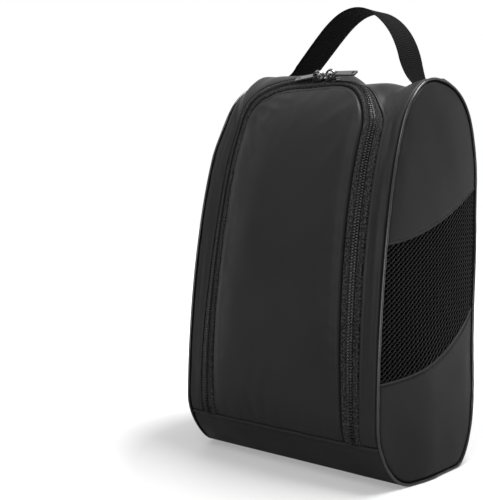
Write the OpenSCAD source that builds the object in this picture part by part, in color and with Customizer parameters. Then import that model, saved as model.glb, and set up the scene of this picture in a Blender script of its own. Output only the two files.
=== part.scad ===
// Golf shoe bag: an upright bag with a zipped front door, D-shaped side panels and a webbing handle.
// X runs to the right, -Y to the front and Z up. The bag stands on Z = 0.

/* [Bag] */
// Width between the outer faces of the two side panels
bag_w = 220; // [180:1:300]
// Height of the side panels
bag_h = 350; // [320:1:420]
// Depth of the side panels at their widest
bag_d = 160; // [140:1:200]
// Height at which the front reaches furthest forward
front_belly_z = 48; // [40:1:70]
// Height at which the back reaches furthest back
back_belly_z = 213; // [180:1:240]
// How far behind the middle the crest of the bag lies
crest_y = 11; // [0:1:20]
// Front edge of the flat part of the base
base_front_y = -40; // [-50:1:-30]
// Back edge of the flat part of the base
base_back_y = 37; // [30:1:50]

/* [Seams] */
// Height of the seam between the base panel and the front
front_seam_z = 37; // [30:1:45]
// Height of the seam between the base panel and the back
back_seam_z = 30; // [20:1:40]
// How far behind the middle the seam between the top and the back lies
top_seam_y = 64; // [58:1:68]
// Clearance between two pieces that are sewn edge to edge
seam_gap = 0.3; // [0.2:0.1:0.5]
// Clearance between two layers that lie on each other
layer_gap = 0.2; // [0.2:0.05:0.4]
// Radius of the piping cord
piping_r = 1.9; // [1.2:0.1:2.5]

/* [Fabric] */
// Thickness of the padded outer panels of the bag
panel_t = 2; // [1.2:0.1:3]
// Thickness of the unpadded outer fabric of the door
door_fabric_t = 1; // [0.6:0.1:1.5]
// Thickness of the foam in the door
door_foam_t = 3; // [2:0.5:5]
// Thickness of the lining
lining_t = 0.6; // [0.4:0.1:1]
// Thickness of the net in the side vents
net_t = 0.8; // [0.6:0.1:1.2]
// Thickness of the side panels
side_t = 1.6; // [1:0.1:2.5]
// Thickness of the base board
board_t = 1.5; // [1:0.1:3]
// How far the front stands out beyond the side panels' outline
front_swell = 13; // [4:0.5:16]
// How far the back stands out beyond the side panels' outline
back_swell = 5.8; // [2:0.1:8]
// Width of the stretch beside each side seam over which the front rises
swell_run = 50; // [35:1:70]

/* [Side vents] */
// Height of the vent's upper edge at the front and at the back
vent_top_z = [194.5, 245];
// Height of the vent's lower edge at the front and at the back
vent_foot_z = [84, 142];

/* [Zip] */
// Half the distance between the two upright stretches of the zip
zip_half_w = 84; // [70:1:88]
// Radius of the zip's upper corners
zip_corner_r = 60; // [50:1:66]
// Length of zip, along the front, from the base seam to the top stretch
zip_rise = 317; // [270:1:325]
// Width of the tape that shows on each side of the coil
tape_w = 10; // [8:0.5:12]
// Thickness of the zip tape
tape_t = 0.8; // [0.6:0.1:1]
// Width of one row of coil teeth
coil_w = 3; // [2.4:0.1:3.4]
// Height of the coil
coil_h = 2; // [1.6:0.1:2.4]
// Distance from one tooth to the next
tooth_pitch = 6; // [4:0.5:8]
// How deep the teeth of the two rows mesh
tooth_depth = 1.6; // [1:0.1:2]

/* [Zip sliders] */
// Where along the top stretch the two sliders meet
slider_meet_x = 10; // [0:1:12]
// Distance between the middles of the two sliders when closed
slider_spacing = 15; // [14.6:0.1:18]
// Half the length of a slider
slider_half_l = 6.5; // [6:0.1:7]
// Half the width of a slider at its nose
slider_half_w = 5.6; // [5.2:0.1:6]
// Thickness of a slider's wings
wing_t = 1.2; // [1:0.1:1.5]
// Outer radius of the slider's crown
crown_r = 6; // [5.6:0.1:6.4]
// Thickness of the crown's bar
crown_t = 1.4; // [1.2:0.1:1.8]
// Width of the crown
crown_w = 2.6; // [2:0.1:3]
// Length of a pull tab from its hinge bar to its tip
pull_l = 28; // [22:1:36]
// Width of a pull tab at its tip
pull_w = 7.5; // [7:0.5:10]
// Thickness of a pull tab
pull_t = 1.4; // [1:0.1:1.6]
// How far a resting pull tab tips down, in degrees
pull_rest = 4.8; // [0:0.1:4.8]

/* [Handle] */
// Width of the webbing
strap_w = 38; // [25:1:38]
// Thickness of the webbing
strap_t = 1.8; // [1.4:0.1:2.4]
// How far behind the middle the handle stands
strap_y = 41; // [36:1:44]
// Height of the handle's arch above the side panels
strap_rise = 71; // [50:1:110]
// Height of the line above the side panels where the webbing bends when the handle flops
strap_bend = 18; // [16:1:24]
// Half the width of the arch at that line
strap_half_w = 63; // [50:1:70]

/* [Hidden] */

coated_black = [0.17, 0.17, 0.175];
lining_black = [0.08, 0.08, 0.085];
zip_black = [0.11, 0.11, 0.115];
metal_black = [0.22, 0.22, 0.23];
foam_grey = [0.35, 0.35, 0.36];

LEFT = -1;
RIGHT = 1;

// ---- Side outline of the bag, as a closed loop of curves in the YZ plane ----

// Each curve's two handles, as a share of the curve's own run and rise
foot_front = [0.42, 0.5];
front_rise = [0.28, 0.81];
back_fall = [0.78, 0.61];
foot_back = [0.37, 0.74];
curve_steps = 10;
base_steps = 2;

function bezier(a, b, c, d, t) =
    a * pow(1 - t, 3) + b * 3 * t * pow(1 - t, 2) + c * 3 * t * t * (1 - t) + d * pow(t, 3);
function curve(a, b, c, d, steps) = [for (i = [0 : steps - 1]) bezier(a, b, c, d, i / steps)];

half_d = bag_d / 2;
front_base = [base_front_y, 0];
front_belly = [-half_d, front_belly_z];
crest = [crest_y, bag_h];
back_belly = [half_d, back_belly_z];
back_base = [base_back_y, 0];
base_middle = (front_base + back_base) / 2;

outline = concat(
    [for (i = [0 : base_steps - 1]) base_middle + (front_base - base_middle) * i / base_steps],
    curve(front_base, front_base + [foot_front[0] * (-half_d - base_front_y), 0],
          front_belly - [0, foot_front[1] * front_belly_z], front_belly, curve_steps),
    curve(front_belly, front_belly + [0, front_rise[0] * (bag_h - front_belly_z)],
          crest - [front_rise[1] * (crest_y + half_d), 0], crest, curve_steps * 2),
    curve(crest, crest + [back_fall[0] * (half_d - crest_y), 0],
          back_belly + [0, back_fall[1] * (bag_h - back_belly_z)], back_belly, curve_steps * 2),
    curve(back_belly, back_belly - [0, foot_back[0] * back_belly_z],
          back_base + [foot_back[1] * (half_d - base_back_y), 0], back_base, curve_steps * 2),
    [for (i = [0 : base_steps]) back_base + (base_middle - back_base) * i / base_steps]
);

// Length along the outline from the middle of the base, forward and up, to each of its points
function lengths(p, i = 0, so_far = 0) =
    i == len(p) - 1 ? [so_far]
    : concat([so_far], lengths(p, i + 1, so_far + norm(p[i + 1] - p[i])));
along = lengths(outline);
loop_l = along[len(along) - 1];
y_at = [for (i = [0 : len(outline) - 1]) [along[i], outline[i][0]]];
z_at = [for (i = [0 : len(outline) - 1]) [along[i], outline[i][1]]];

// Stations of the outline where it passes a given height on its front, or a given place behind the crest
first_crest = base_steps + curve_steps * 3;
station_front_z = [for (i = [base_steps : first_crest]) [outline[i][1], along[i]]];
station_back_y = [for (i = [first_crest : first_crest + curve_steps * 2]) [outline[i][0], along[i]]];
station_back_z = [for (i = [len(outline) - 1 - base_steps : -1 : first_crest]) [outline[i][1], along[i]]];
front_seam = lookup(front_seam_z, station_front_z);
top_seam = lookup(top_seam_y, station_back_y);
back_seam = lookup(back_seam_z, station_back_z);

// Point, unit normal and unit tangent of the outline at a station
function wrap(s) = s < 0 ? s + loop_l : (s > loop_l ? s - loop_l : s);
function at(s) = [lookup(wrap(s), y_at), lookup(wrap(s), z_at)];
normal_reach = 3;
function tangent(s) = let (d = at(s + normal_reach) - at(s - normal_reach)) d / norm(d);
function normal(s) = let (t = tangent(s)) [-t[1], t[0]];

// ---- Skin of the bag: the outline carried across the width, swelling between the side seams ----

function ease(t) = let (u = max(0, min(1, t))) u * u * (3 - 2 * u);
function arc_swell(s, a, b) = s <= a || s >= b ? 0 : pow(sin(180 * (s - a) / (b - a)), 0.8);
function swell(x, s) =
    ease((bag_w / 2 - abs(x)) / swell_run)
    * (front_swell * arc_swell(s, front_seam, top_seam) + back_swell * arc_swell(s, top_seam, back_seam));
function skin(x, s, out) =
    let (p = at(s), n = normal(s), h = swell(x, s) + out) [x, p[0] + n[0] * h, p[1] + n[1] * h];

// A closed sheet between two grids of points, whose rows run along the first index
function quad(a, b, c, d) = [[a, b, c], [a, c, d]];
module sheet(outer, inner) {
    rows = len(outer);
    cols = len(outer[0]);
    n = rows * cols;
    function id(i, j) = i * cols + j;
    points = [for (g = [outer, inner]) for (row = g) for (p = row) p];
    faces = concat(
        [for (i = [0 : rows - 2]) for (j = [0 : cols - 2])
            for (t = quad(id(i, j), id(i, j + 1), id(i + 1, j + 1), id(i + 1, j))) t],
        [for (i = [0 : rows - 2]) for (j = [0 : cols - 2])
            for (t = quad(n + id(i, j), n + id(i + 1, j), n + id(i + 1, j + 1), n + id(i, j + 1))) t],
        [for (i = [0 : rows - 2]) for (t = quad(n + id(i, 0), id(i, 0), id(i + 1, 0), n + id(i + 1, 0))) t],
        [for (i = [0 : rows - 2]) let (j = cols - 1)
            for (t = quad(n + id(i, j), n + id(i + 1, j), id(i + 1, j), id(i, j))) t],
        [for (j = [0 : cols - 2]) for (t = quad(n + id(0, j), n + id(0, j + 1), id(0, j + 1), id(0, j))) t],
        [for (j = [0 : cols - 2]) let (i = rows - 1)
            for (t = quad(id(i, j), id(i, j + 1), n + id(i, j + 1), n + id(i, j))) t]
    );
    polyhedron(points = points, faces = faces);
}

// A layer of the skin over a grid of [x, station] places, from one depth to another
module layer(grid, top, bottom) {
    sheet([for (row = grid) [for (q = row) skin(q[0], q[1], top)]],
          [for (row = grid) [for (q = row) skin(q[0], q[1], bottom)]]);
}

// Places across the width, from one edge to the other: close where the skin swells, none on its level middle
level_half_w = bag_w / 2 - swell_run;
function across(half_w, steps) =
    let (w = min(half_w, level_half_w),
         right = [for (i = [0 : steps]) w + (half_w - w) * i / steps])
    concat([for (i = [steps : -1 : 0]) -right[i]], right);

// Grid across the whole width between two stations
function band(half_w, from, to, cols, steps) =
    [for (x = across(half_w, cols)) [for (j = [0 : steps]) [x, from + (to - from) * j / steps]]];

// ---- Path of the zip: up the left, over the top and down the right ----

arc_x = zip_half_w - zip_corner_r;
arc_s = front_seam + zip_rise - zip_corner_r;
upright_steps = 13;
side_steps = 8;
top_steps = 5;
surround_half_w = bag_w / 2 - piping_r - seam_gap;
surround_top = top_seam - seam_gap;
corner_w = surround_half_w - arc_x;
corner_h = surround_top - arc_s;

// Angles round one corner, from the upright stretch to the top, that space the border's rim evenly
corner_angles = concat(
    [for (i = [0 : side_steps]) atan2(corner_h * i / side_steps, corner_w)],
    [for (i = [top_steps - 1 : -1 : 0]) atan2(corner_h, corner_w * i / top_steps)]
);
foot = front_seam + seam_gap;
right_half = concat(
    [for (a = [len(corner_angles) - 1 : -1 : 0]) let (t = corner_angles[a])
        [arc_x + zip_corner_r * cos(t), arc_s + zip_corner_r * sin(t), cos(t), sin(t)]],
    [for (i = [1 : upright_steps]) [zip_half_w, arc_s + (foot - arc_s) * i / upright_steps, 1, 0]]
);
left_half = [for (i = [len(right_half) - 1 : -1 : 0]) let (q = right_half[i]) [-q[0], q[1], -q[2], q[3]]];
zip_path = concat(left_half, right_half);
function beside(q, k) = [q[0] + k * q[2], q[1] + k * q[3]];

// Edge of the border that faces a place on the zip, at a distance inside its rim
function rim(q, inset) =
    let (w = corner_w - inset, h = corner_h - inset,
         reach = q[3] == 0 ? w : (abs(q[2]) < 0.001 ? h : min(w / abs(q[2]), h / q[3])),
         side = abs(q[2]) < 0.001 ? q[0] : sign(q[2]) * (arc_x + reach * abs(q[2])))
    [side, q[3] == 0 ? q[1] : arc_s + reach * q[3]];

// ---- Shell of the bag ----

// The border's columns run from the zip tape to the edge of the lining, and one more to the rim
border_cols = 4;
lining_inset = 4.2;
function border_grid(to_rim) =
    [for (q = zip_path) let (a = beside(q, tape_w + seam_gap), c = rim(q, lining_inset))
        concat([for (j = [0 : border_cols]) a + (c - a) * j / border_cols], to_rim ? [rim(q, 0)] : [])];

module front_surround() color(coated_black) layer(border_grid(true), 0, -panel_t);

lining_top = -panel_t - layer_gap;
module surround_lining() color(lining_black) layer(border_grid(false), lining_top, lining_top - lining_t);

back_cols = 4;
back_steps = 18;
module back_panel() color(coated_black)
    layer(band(surround_half_w, top_seam, back_seam - seam_gap, back_cols, back_steps), 0, -panel_t);

lining_half_w = surround_half_w - lining_inset;
module back_lining() color(lining_black)
    layer(band(lining_half_w, top_seam, back_seam - seam_gap, back_cols, back_steps),
          lining_top, lining_top - lining_t);

base_cols = 1;
base_rows = 14;
base_from = back_seam - loop_l;
module base_panel() color(coated_black)
    layer(band(surround_half_w, base_from, front_seam, base_cols, base_rows), 0, -panel_t);

board_top = lining_top - board_t;
module base_lining() color(lining_black)
    layer(band(lining_half_w, base_from, front_seam, base_cols, base_rows),
          board_top - layer_gap, board_top - layer_gap - lining_t);

board_inset = 8;
module base_board() color(foam_grey)
    translate([-lining_half_w, base_front_y + board_inset, -lining_top])
    cube([2 * lining_half_w, base_back_y - base_front_y - 2 * board_inset, board_t]);

// ---- Side panels, net vents, piping and seam bindings ----

side_inset = 2 * piping_r + layer_gap;
side_points = [for (i = [0 : len(outline) - 2]) let (n = normal(along[i])) outline[i] - n * side_inset];
vent_steps = 16;
vent_top_bend = 1.8;
vent_foot_bend = 2.4;
function vent_edge(z, bend, shift) =
    [for (i = [-1 : vent_steps]) let (t = max(0, i) / vent_steps)
        [-half_d + (i < 0 ? -1 : bag_d * t), z[0] + (z[1] - z[0]) * pow(t, bend) + shift]];
sky = bag_h + 10;
ground = -10;

module side_outline() polygon(side_points);
module above(edge) polygon(concat(edge, [[half_d, sky], [-half_d - 1, sky]]));
module below(edge) polygon(concat(edge, [[half_d, ground], [-half_d - 1, ground]]));

// Stands a shape drawn in the YZ plane up as a plate whose outer face lies on the side
module side_plate(side, t) {
    translate([side == RIGHT ? bag_w / 2 - t : -bag_w / 2, 0, 0])
    rotate([90, 0, 90]) linear_extrude(t) children();
}

module side_upper(side) color(coated_black) side_plate(side, side_t) intersection() {
    side_outline();
    above(vent_edge(vent_top_z, vent_top_bend, seam_gap));
}
module net_vent(side) color(lining_black) side_plate(side, net_t) intersection() {
    side_outline();
    below(vent_edge(vent_top_z, vent_top_bend, 0));
    above(vent_edge(vent_foot_z, vent_foot_bend, 0));
}
module side_lower(side) color(coated_black) side_plate(side, side_t) intersection() {
    side_outline();
    below(vent_edge(vent_foot_z, vent_foot_bend, -seam_gap));
}

// A closed loop of rings: each ring lies round its own middle on the outline
module ring_loop(rings) {
    m = len(rings[0]);
    n = len(rings);
    faces = [for (i = [0 : n - 1]) for (j = [0 : m - 1])
        let (i2 = (i + 1) % n, j2 = (j + 1) % m)
        for (t = quad(i * m + j, i2 * m + j, i2 * m + j2, i * m + j2)) t];
    polyhedron(points = [for (r = rings) for (p = r) p], faces = faces);
}

cord_sides = 6;
function cord_ring(x, i) =
    let (p = outline[i], n = normal(along[i]), c = p - n * piping_r)
    [for (j = [0 : cord_sides - 1]) let (a = 360 * j / cord_sides, r = piping_r * cos(a))
        [x + piping_r * sin(a), c[0] + n[0] * r, c[1] + n[1] * r]];
module piping(side) color(coated_black)
    ring_loop([for (i = [0 : len(outline) - 2]) cord_ring(side * bag_w / 2, i)]);

binding_w = 3.6;
binding_drop = [3, 6.4];
function binding_ring(x, i) =
    let (p = outline[i], n = normal(along[i]),
         a = p - n * binding_drop[0], b = p - n * binding_drop[1], w = binding_w / 2)
    [[x - w, a[0], a[1]], [x + w, a[0], a[1]], [x + w, b[0], b[1]], [x - w, b[0], b[1]]];
module seam_binding(side) color(lining_black)
    ring_loop([for (i = [0 : 2 : len(outline) - 2])
        binding_ring(side * (surround_half_w - lining_inset + layer_gap + binding_w / 2), i)]);

// ---- Zip ----

tape_top = -0.4;
tape_bottom = tape_top - tape_t;
coil_foot = tape_top + layer_gap;
coil_top = coil_foot + coil_h;
zip_top = arc_s + zip_corner_r;
slider_x = [slider_meet_x - slider_spacing / 2, slider_meet_x + slider_spacing / 2];

// The tape's inner edges part round the wedges of the two sliders
wedge_half_w = 1.7;
wedge_reach = 2.5;
parting_half_l = slider_spacing / 2 + wedge_reach;
parting = wedge_half_w + 0.6;
edge_gap = 0.3;
top_marks = [slider_meet_x - parting_half_l - 1, slider_meet_x - parting_half_l,
             slider_meet_x + parting_half_l, slider_meet_x + parting_half_l + 1];
taped_path = concat(left_half, [for (x = top_marks) [x, zip_top, 0, 1]], right_half);
function near_edge(q) = q[3] == 1 && abs(q[0] - slider_meet_x) < parting_half_l + 0.5 ? parting : edge_gap;
function tape_grid(side) = [for (q = taped_path) [beside(q, side * near_edge(q)), beside(q, side * tape_w)]];

module zip_tape_bag() color(zip_black) layer(tape_grid(1), tape_top, tape_bottom);
module zip_tape_door() color(zip_black)
    layer([for (row = tape_grid(-1)) [row[1], row[0]]], tape_top, tape_bottom);

// Place on the zip at a length from the foot of one side, as [x, station, side x, side station]
upright_l = arc_s - foot;
corner_l = zip_corner_r * PI / 2;
function mirror_x(q, side) = [side * q[0], q[1], side * q[2], q[3]];
function zip_at(side, l) = mirror_x(
    l < upright_l ? [zip_half_w, foot + l, 1, 0]
    : l < upright_l + corner_l ?
        let (a = (l - upright_l) / corner_l * 90)
        [arc_x + zip_corner_r * cos(a), arc_s + zip_corner_r * sin(a), cos(a), sin(a)]
    : [arc_x - (l - upright_l - corner_l), zip_top, 0, 1], side);

// One run of teeth from a side seam up to the wedge of its slider, with the inner edge zigzagging
function run_l(side) = upright_l + corner_l + arc_x - side * slider_meet_x - parting_half_l;
function tooth_places(side) = [for (i = [0 : floor(run_l(side) / tooth_pitch * 2)]) i];
function teeth_grid(side, row) =
    [for (i = tooth_places(side))
        let (q = zip_at(side, i * tooth_pitch / 2),
             mesh = (i % 2 == 0 ? -0.5 : 0.5) * tooth_depth + row * edge_gap / 2)
        row > 0 ? [beside(q, mesh), beside(q, coil_w)] : [beside(q, -coil_w), beside(q, mesh)]];
function flipped(grid) = [for (i = [len(grid) - 1 : -1 : 0]) grid[i]];
module zip_teeth(row) {
    for (side = [LEFT, RIGHT])
        layer(side == LEFT ? teeth_grid(side, row) : flipped(teeth_grid(side, row)), coil_top, coil_foot);
}
module zip_teeth_bag() color(zip_black) zip_teeth(1);
module zip_teeth_door() color(zip_black) zip_teeth(-1);

// ---- Door ----

door_half_w = zip_half_w - tape_w - seam_gap;
door_corner_r = zip_corner_r - tape_w - seam_gap;
door_cols = 2;
door_rows = concat(
    [for (i = [upright_steps : -1 : 1]) [door_half_w, arc_s + (foot - arc_s) * i / upright_steps]],
    [for (t = corner_angles) [arc_x + door_corner_r * cos(t), arc_s + door_corner_r * sin(t)]]
);
door_marks = across(door_half_w, door_cols) / door_half_w;
function door_grid() = [for (mark = door_marks) [for (row = door_rows) [row[0] * mark, row[1]]]];
foam_top = -door_fabric_t - layer_gap;
door_lining_top = foam_top - door_foam_t - layer_gap;
module door_panel() color(coated_black) layer(door_grid(), 0, -door_fabric_t);
module door_padding() color(foam_grey) layer(door_grid(), foam_top, foam_top - door_foam_t);
module door_lining() color(lining_black) layer(door_grid(), door_lining_top, door_lining_top - lining_t);

// ---- Sliders and pull tabs ----

wing_low = tape_bottom - 1.1;
wing_high = coil_top + 0.5;
wing_top = wing_high + wing_t;
slider_tail_half_w = slider_half_w - 1.1;
lip_t = 0.8;
bar_r = 0.8;
bar_lift = 1.7;

// Puts a slider, drawn along X with Z up off the zip, on the top stretch with its nose to the middle
module on_zip(side) {
    p = skin(slider_meet_x, zip_top, 0);
    slope = skin(slider_meet_x, zip_top + normal_reach, 0) - skin(slider_meet_x, zip_top - normal_reach, 0);
    translate([slider_x[side == LEFT ? 0 : 1], p[1], p[2]])
    rotate([atan2(slope[2], slope[1]), 0, 0])
    mirror([side == LEFT ? 1 : 0, 0, 0]) children();
}

wing_round = 1.6;
module wing_plan() {
    nose = slider_half_w - wing_round;
    tail = slider_tail_half_w - wing_round;
    reach = slider_half_l - wing_round;
    for (k = [-1, 1]) {
        translate([-reach, k * nose]) circle(wing_round, $fn = 32);
        translate([reach, k * tail]) circle(wing_round, $fn = 32);
    }
    polygon([[-slider_half_l, -nose], [-slider_half_l, nose], [-reach, slider_half_w],
             [reach, slider_tail_half_w], [slider_half_l, tail], [slider_half_l, -tail],
             [reach, -slider_tail_half_w], [-reach, -slider_half_w]]);
}
module lips(h) {
    linear_extrude(h) difference() {
        wing_plan();
        square([2 * slider_half_l + 2, 2 * (slider_tail_half_w - lip_t)], center = true);
        translate([-slider_half_l - 1, -slider_half_w - 1])
            square([1 + wing_round, 2 * slider_half_w + 2]);
    }
}
module wedge() {
    translate([0, 0, wing_low]) linear_extrude(wing_high - wing_low)
    polygon([[-slider_half_l + 0.6, 0], [-slider_half_l + 1.8, wedge_half_w],
             [-slider_half_l + 3, wedge_half_w], [-1.4, 0],
             [-slider_half_l + 3, -wedge_half_w], [-slider_half_l + 1.8, -wedge_half_w]]);
}
module crown() {
    translate([0, crown_w / 2, wing_top]) rotate([90, 0, 0]) linear_extrude(crown_w)
    difference() {
        circle(crown_r, $fn = 64);
        circle(crown_r - crown_t, $fn = 64);
        translate([-crown_r - 1, -2 * crown_r]) square([2 * crown_r + 2, 2 * crown_r]);
    }
}
module slider(side) color(metal_black) on_zip(side) {
    translate([0, 0, wing_low - wing_t]) linear_extrude(wing_t) wing_plan();
    translate([0, 0, wing_high]) linear_extrude(wing_t) wing_plan();
    translate([0, 0, wing_low]) lips(0.4);
    translate([0, 0, coil_foot + 0.6]) lips(wing_high - coil_foot - 0.6);
    wedge();
    crown();
}

// Pull tab: a hinge bar inside the crown, two arms past it, and a tab that widens to a slotted tip
arm_w = 1.5;
arm_gap = 0.5;
window_l = crown_r + 0.8;
arm_out = crown_w / 2 + arm_gap + arm_w;
tip_round = 1.4;
slot_l = 1.8;
module pull_plan() {
    difference() {
        union() {
            translate([pull_l - tip_round, pull_w / 2 - tip_round]) circle(tip_round, $fn = 32);
            translate([pull_l - tip_round, tip_round - pull_w / 2]) circle(tip_round, $fn = 32);
            polygon([[0, -arm_out], [window_l + 2, -arm_out], [pull_l - tip_round, -pull_w / 2],
                     [pull_l, tip_round - pull_w / 2], [pull_l, pull_w / 2 - tip_round],
                     [pull_l - tip_round, pull_w / 2], [window_l + 2, arm_out], [0, arm_out]]);
        }
        translate([-1, -arm_out + arm_w]) square([window_l + 1, 2 * (arm_out - arm_w)]);
        translate([pull_l - 4.6, -pull_w / 2 + 1.5]) square([slot_l, pull_w - 3]);
    }
}
module pull(side) color(metal_black) on_zip(side)
    translate([0, 0, wing_top + bar_lift]) rotate([0, pull_rest, 0]) {
        translate([0, 0, -pull_t / 2]) linear_extrude(pull_t) pull_plan();
        translate([0, arm_out, 0]) rotate([90, 0, 0]) cylinder(r = bar_r, h = 2 * arm_out, $fn = 32);
    }

// ---- Handle ----

bend_z = bag_h + strap_bend;
apex_z = bag_h + strap_rise;
arch_steps = 22;

// The arch is a parabola from the bend line on the left, over its apex, to the bend line on the right
arch_h = apex_z - bend_z;
function arch_x(t) = strap_half_w * t;
function arch_z(t) = apex_z - arch_h * t * t;
function arch_normal(t) = let (v = [2 * arch_h * t / strap_half_w, 1]) v / norm(v);
function arch_row(t, out) =
    let (n = arch_normal(t), x = arch_x(t) + n[0] * out, z = arch_z(t) + n[1] * out)
    [for (y = [strap_y - strap_w / 2, strap_y + strap_w / 2]) [x, y, z]];
arch_marks = [for (i = [0 : arch_steps]) 2 * i / arch_steps - 1];
module handle_strap() color(zip_black)
    sheet([for (t = arch_marks) arch_row(t, strap_t / 2)], [for (t = arch_marks) arch_row(t, -strap_t / 2)]);

// Each end runs on from the arch and bends out over the top, where it lies on the skin up to the side seam
end_steps = 8;
end_cols = 4;
end_lift = 0.8;
end_gap = 0.3;
end_bend = 2;
hem_x = surround_half_w;
function end_point(off, u, out) =
    let (n = arch_normal(1),
         leg = [arch_x(1) + n[0] * out + n[1] * end_gap, strap_y + off, arch_z(1) + n[1] * out - n[0] * end_gap],
         s = lookup(strap_y, station_back_y) + off,
         lift = end_lift + strap_t / 2 + out,
         away = leg - skin(leg[0], s, lift),
         lead = end_bend * away[2] * n[1] / n[0] / (hem_x - leg[0]),
         x = leg[0] + (hem_x - leg[0]) * (lead * u + (1 - lead) * u * u))
    skin(x, s, lift) + away * pow(1 - u, end_bend);
function end_grid(out) =
    [for (i = [0 : end_steps]) [for (j = [0 : end_cols])
        end_point(strap_w * (j / end_cols - 0.5), i / end_steps, out)]];
module handle_end(side) color(zip_black)
    mirror([side == LEFT ? 1 : 0, 0, 0]) sheet(end_grid(strap_t / 2), end_grid(-strap_t / 2));

front_surround();
surround_lining();
back_panel();
back_lining();
base_panel();
base_board();
base_lining();
side_upper(LEFT);  // side_upper_left
side_upper(RIGHT);  // side_upper_right
net_vent(LEFT);  // net_vent_left
net_vent(RIGHT);  // net_vent_right
side_lower(LEFT);  // side_lower_left
side_lower(RIGHT);  // side_lower_right
piping(LEFT);  // piping_left
piping(RIGHT);  // piping_right
seam_binding(LEFT);  // seam_binding_left
seam_binding(RIGHT);  // seam_binding_right
zip_tape_bag();
zip_teeth_bag();
handle_end(LEFT);  // handle_end_left
handle_end(RIGHT);  // handle_end_right
door_panel();
door_padding();
door_lining();
zip_tape_door();
zip_teeth_door();
slider(LEFT);  // slider_left
slider(RIGHT);  // slider_right
pull(LEFT);  // pull_left
pull(RIGHT);  // pull_right
handle_strap();
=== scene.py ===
import math

import bmesh
import bpy
import numpy as np
from bpy.props import FloatProperty, FloatVectorProperty, IntProperty, PointerProperty
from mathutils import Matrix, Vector


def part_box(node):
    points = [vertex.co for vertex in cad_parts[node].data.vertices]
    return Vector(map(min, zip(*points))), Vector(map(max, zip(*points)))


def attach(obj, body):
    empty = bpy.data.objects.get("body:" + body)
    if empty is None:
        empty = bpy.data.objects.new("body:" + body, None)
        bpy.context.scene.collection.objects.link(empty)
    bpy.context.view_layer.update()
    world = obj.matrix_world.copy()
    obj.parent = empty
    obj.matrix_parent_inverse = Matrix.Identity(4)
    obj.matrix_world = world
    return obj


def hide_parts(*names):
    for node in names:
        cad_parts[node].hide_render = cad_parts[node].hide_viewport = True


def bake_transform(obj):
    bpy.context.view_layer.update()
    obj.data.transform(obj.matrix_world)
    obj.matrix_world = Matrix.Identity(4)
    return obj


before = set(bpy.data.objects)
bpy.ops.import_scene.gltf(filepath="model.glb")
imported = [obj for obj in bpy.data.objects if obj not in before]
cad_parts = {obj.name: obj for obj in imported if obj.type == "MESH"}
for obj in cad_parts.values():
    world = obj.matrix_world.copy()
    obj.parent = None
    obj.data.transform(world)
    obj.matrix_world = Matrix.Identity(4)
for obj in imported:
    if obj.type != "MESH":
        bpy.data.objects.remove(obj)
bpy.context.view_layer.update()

bl_info = {
    "name": "Shoe bag",
    "version": (1, 0, 0),
    "blender": (4, 5, 0),
    "location": "View3D > Sidebar > Shoe bag",
    "description": "Sews the soft shoe bag over its frame: cloth panels, nets, piping, zip and handle",
    "category": "Add Mesh",
}

# ---- Sizes of the frame, in millimetres ----

MM = 0.001
LEFT, RIGHT = -1, 1
SIDES = ((LEFT, "left"), (RIGHT, "right"))


def box_mm(node):
    """Lowest and highest corners of a frame node, in millimetres, to a hundredth."""
    return [np.round(np.array(corner) / MM, 2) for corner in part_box(node)]


HALF_W = box_mm("side_upper_right")[1][0]
_, HALF_D, BAG_H = box_mm("piping_right")[1]
STRAP_FRONT, STRAP_BACK = (corner[1] for corner in box_mm("handle_strap"))
BEND_Z, APEX_Z = 368.0, BAG_H + 71

FRONT_BELLY_Z, BACK_BELLY_Z, CREST_Y = 52.0, 213.0, 11.0
BASE_FRONT_Y, BASE_BACK_Y = -38.0, 24.0
FRONT_SEAM_Z, BACK_SEAM_Z, TOP_SEAM_Y = 37.0, 30.0, 64.0
FRONT_SWELL, BACK_SWELL, SWELL_RUN = 13.0, 5.8, 50.0
SEAM_GAP, LAYER_GAP = 0.3, 0.2
PANEL_T, SIDE_T, LINING_T, FOAM_T, DOOR_CLOTH_T, BOARD_T = 2.0, 1.6, 0.6, 3.0, 1.0, 1.5
# Each edge of a vent: its height at the front and at the back, and the power of its rise
VENT_TOP, VENT_FOOT = (198.4, 248.2, 1.9), (88.8, 143.5, 2.6)
ZIP_HALF_W, ZIP_CORNER_R, ZIP_RISE = 84.0, 60.0, 317.0
TAPE_OUT, TAPE_IN, TAPE_T = 7.6, 9.7, 0.75
SLIDER_MEET_X, PARTING_HALF_L = 10.0, 10.0
SIDE_TUCK = 2.6
# How far a lining stays inside its rim and runs on past its seam; the rim that is held while filling
LINING_INSET, LINING_LAP, HELD_RIM = 4.2, 5.0, 3.0


# ---- Lengths and smooth steps ----


def unit(v):
    """Each vector divided by its length."""
    return v / np.linalg.norm(v, axis=-1, keepdims=True)


def lengths(line):
    """Length along a line of points up to each of them."""
    return np.r_[0, np.cumsum(np.linalg.norm(np.diff(line, axis=0), axis=1))]


def ease(t):
    """Smooth step: 3 t squared less 2 t cubed, between 0 and 1."""
    u = np.clip(t, 0, 1)
    return u * u * (3 - 2 * u)


def step(v, start, run):
    """Smooth step of a value, 0 up to a start and 1 from a run beyond it."""
    return ease((v - start) / run)


def bell(v, middle, width):
    """Bell: e to the minus square of the distance from the middle over the width."""
    return np.exp(-(((v - middle) / width) ** 2))


# ---- Side outline of the bag, a closed line in the YZ plane ----

BASE_N, CURVE_N, CHORD = 40, (200, 400, 400, 400), 3
# Share of each curve's reach along which it holds the direction it leaves in, and arrives in
HOLDS = ((0.44, 0.44), (0.28, 0.81), (0.78, 0.61), (0.33, 0.6))


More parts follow.
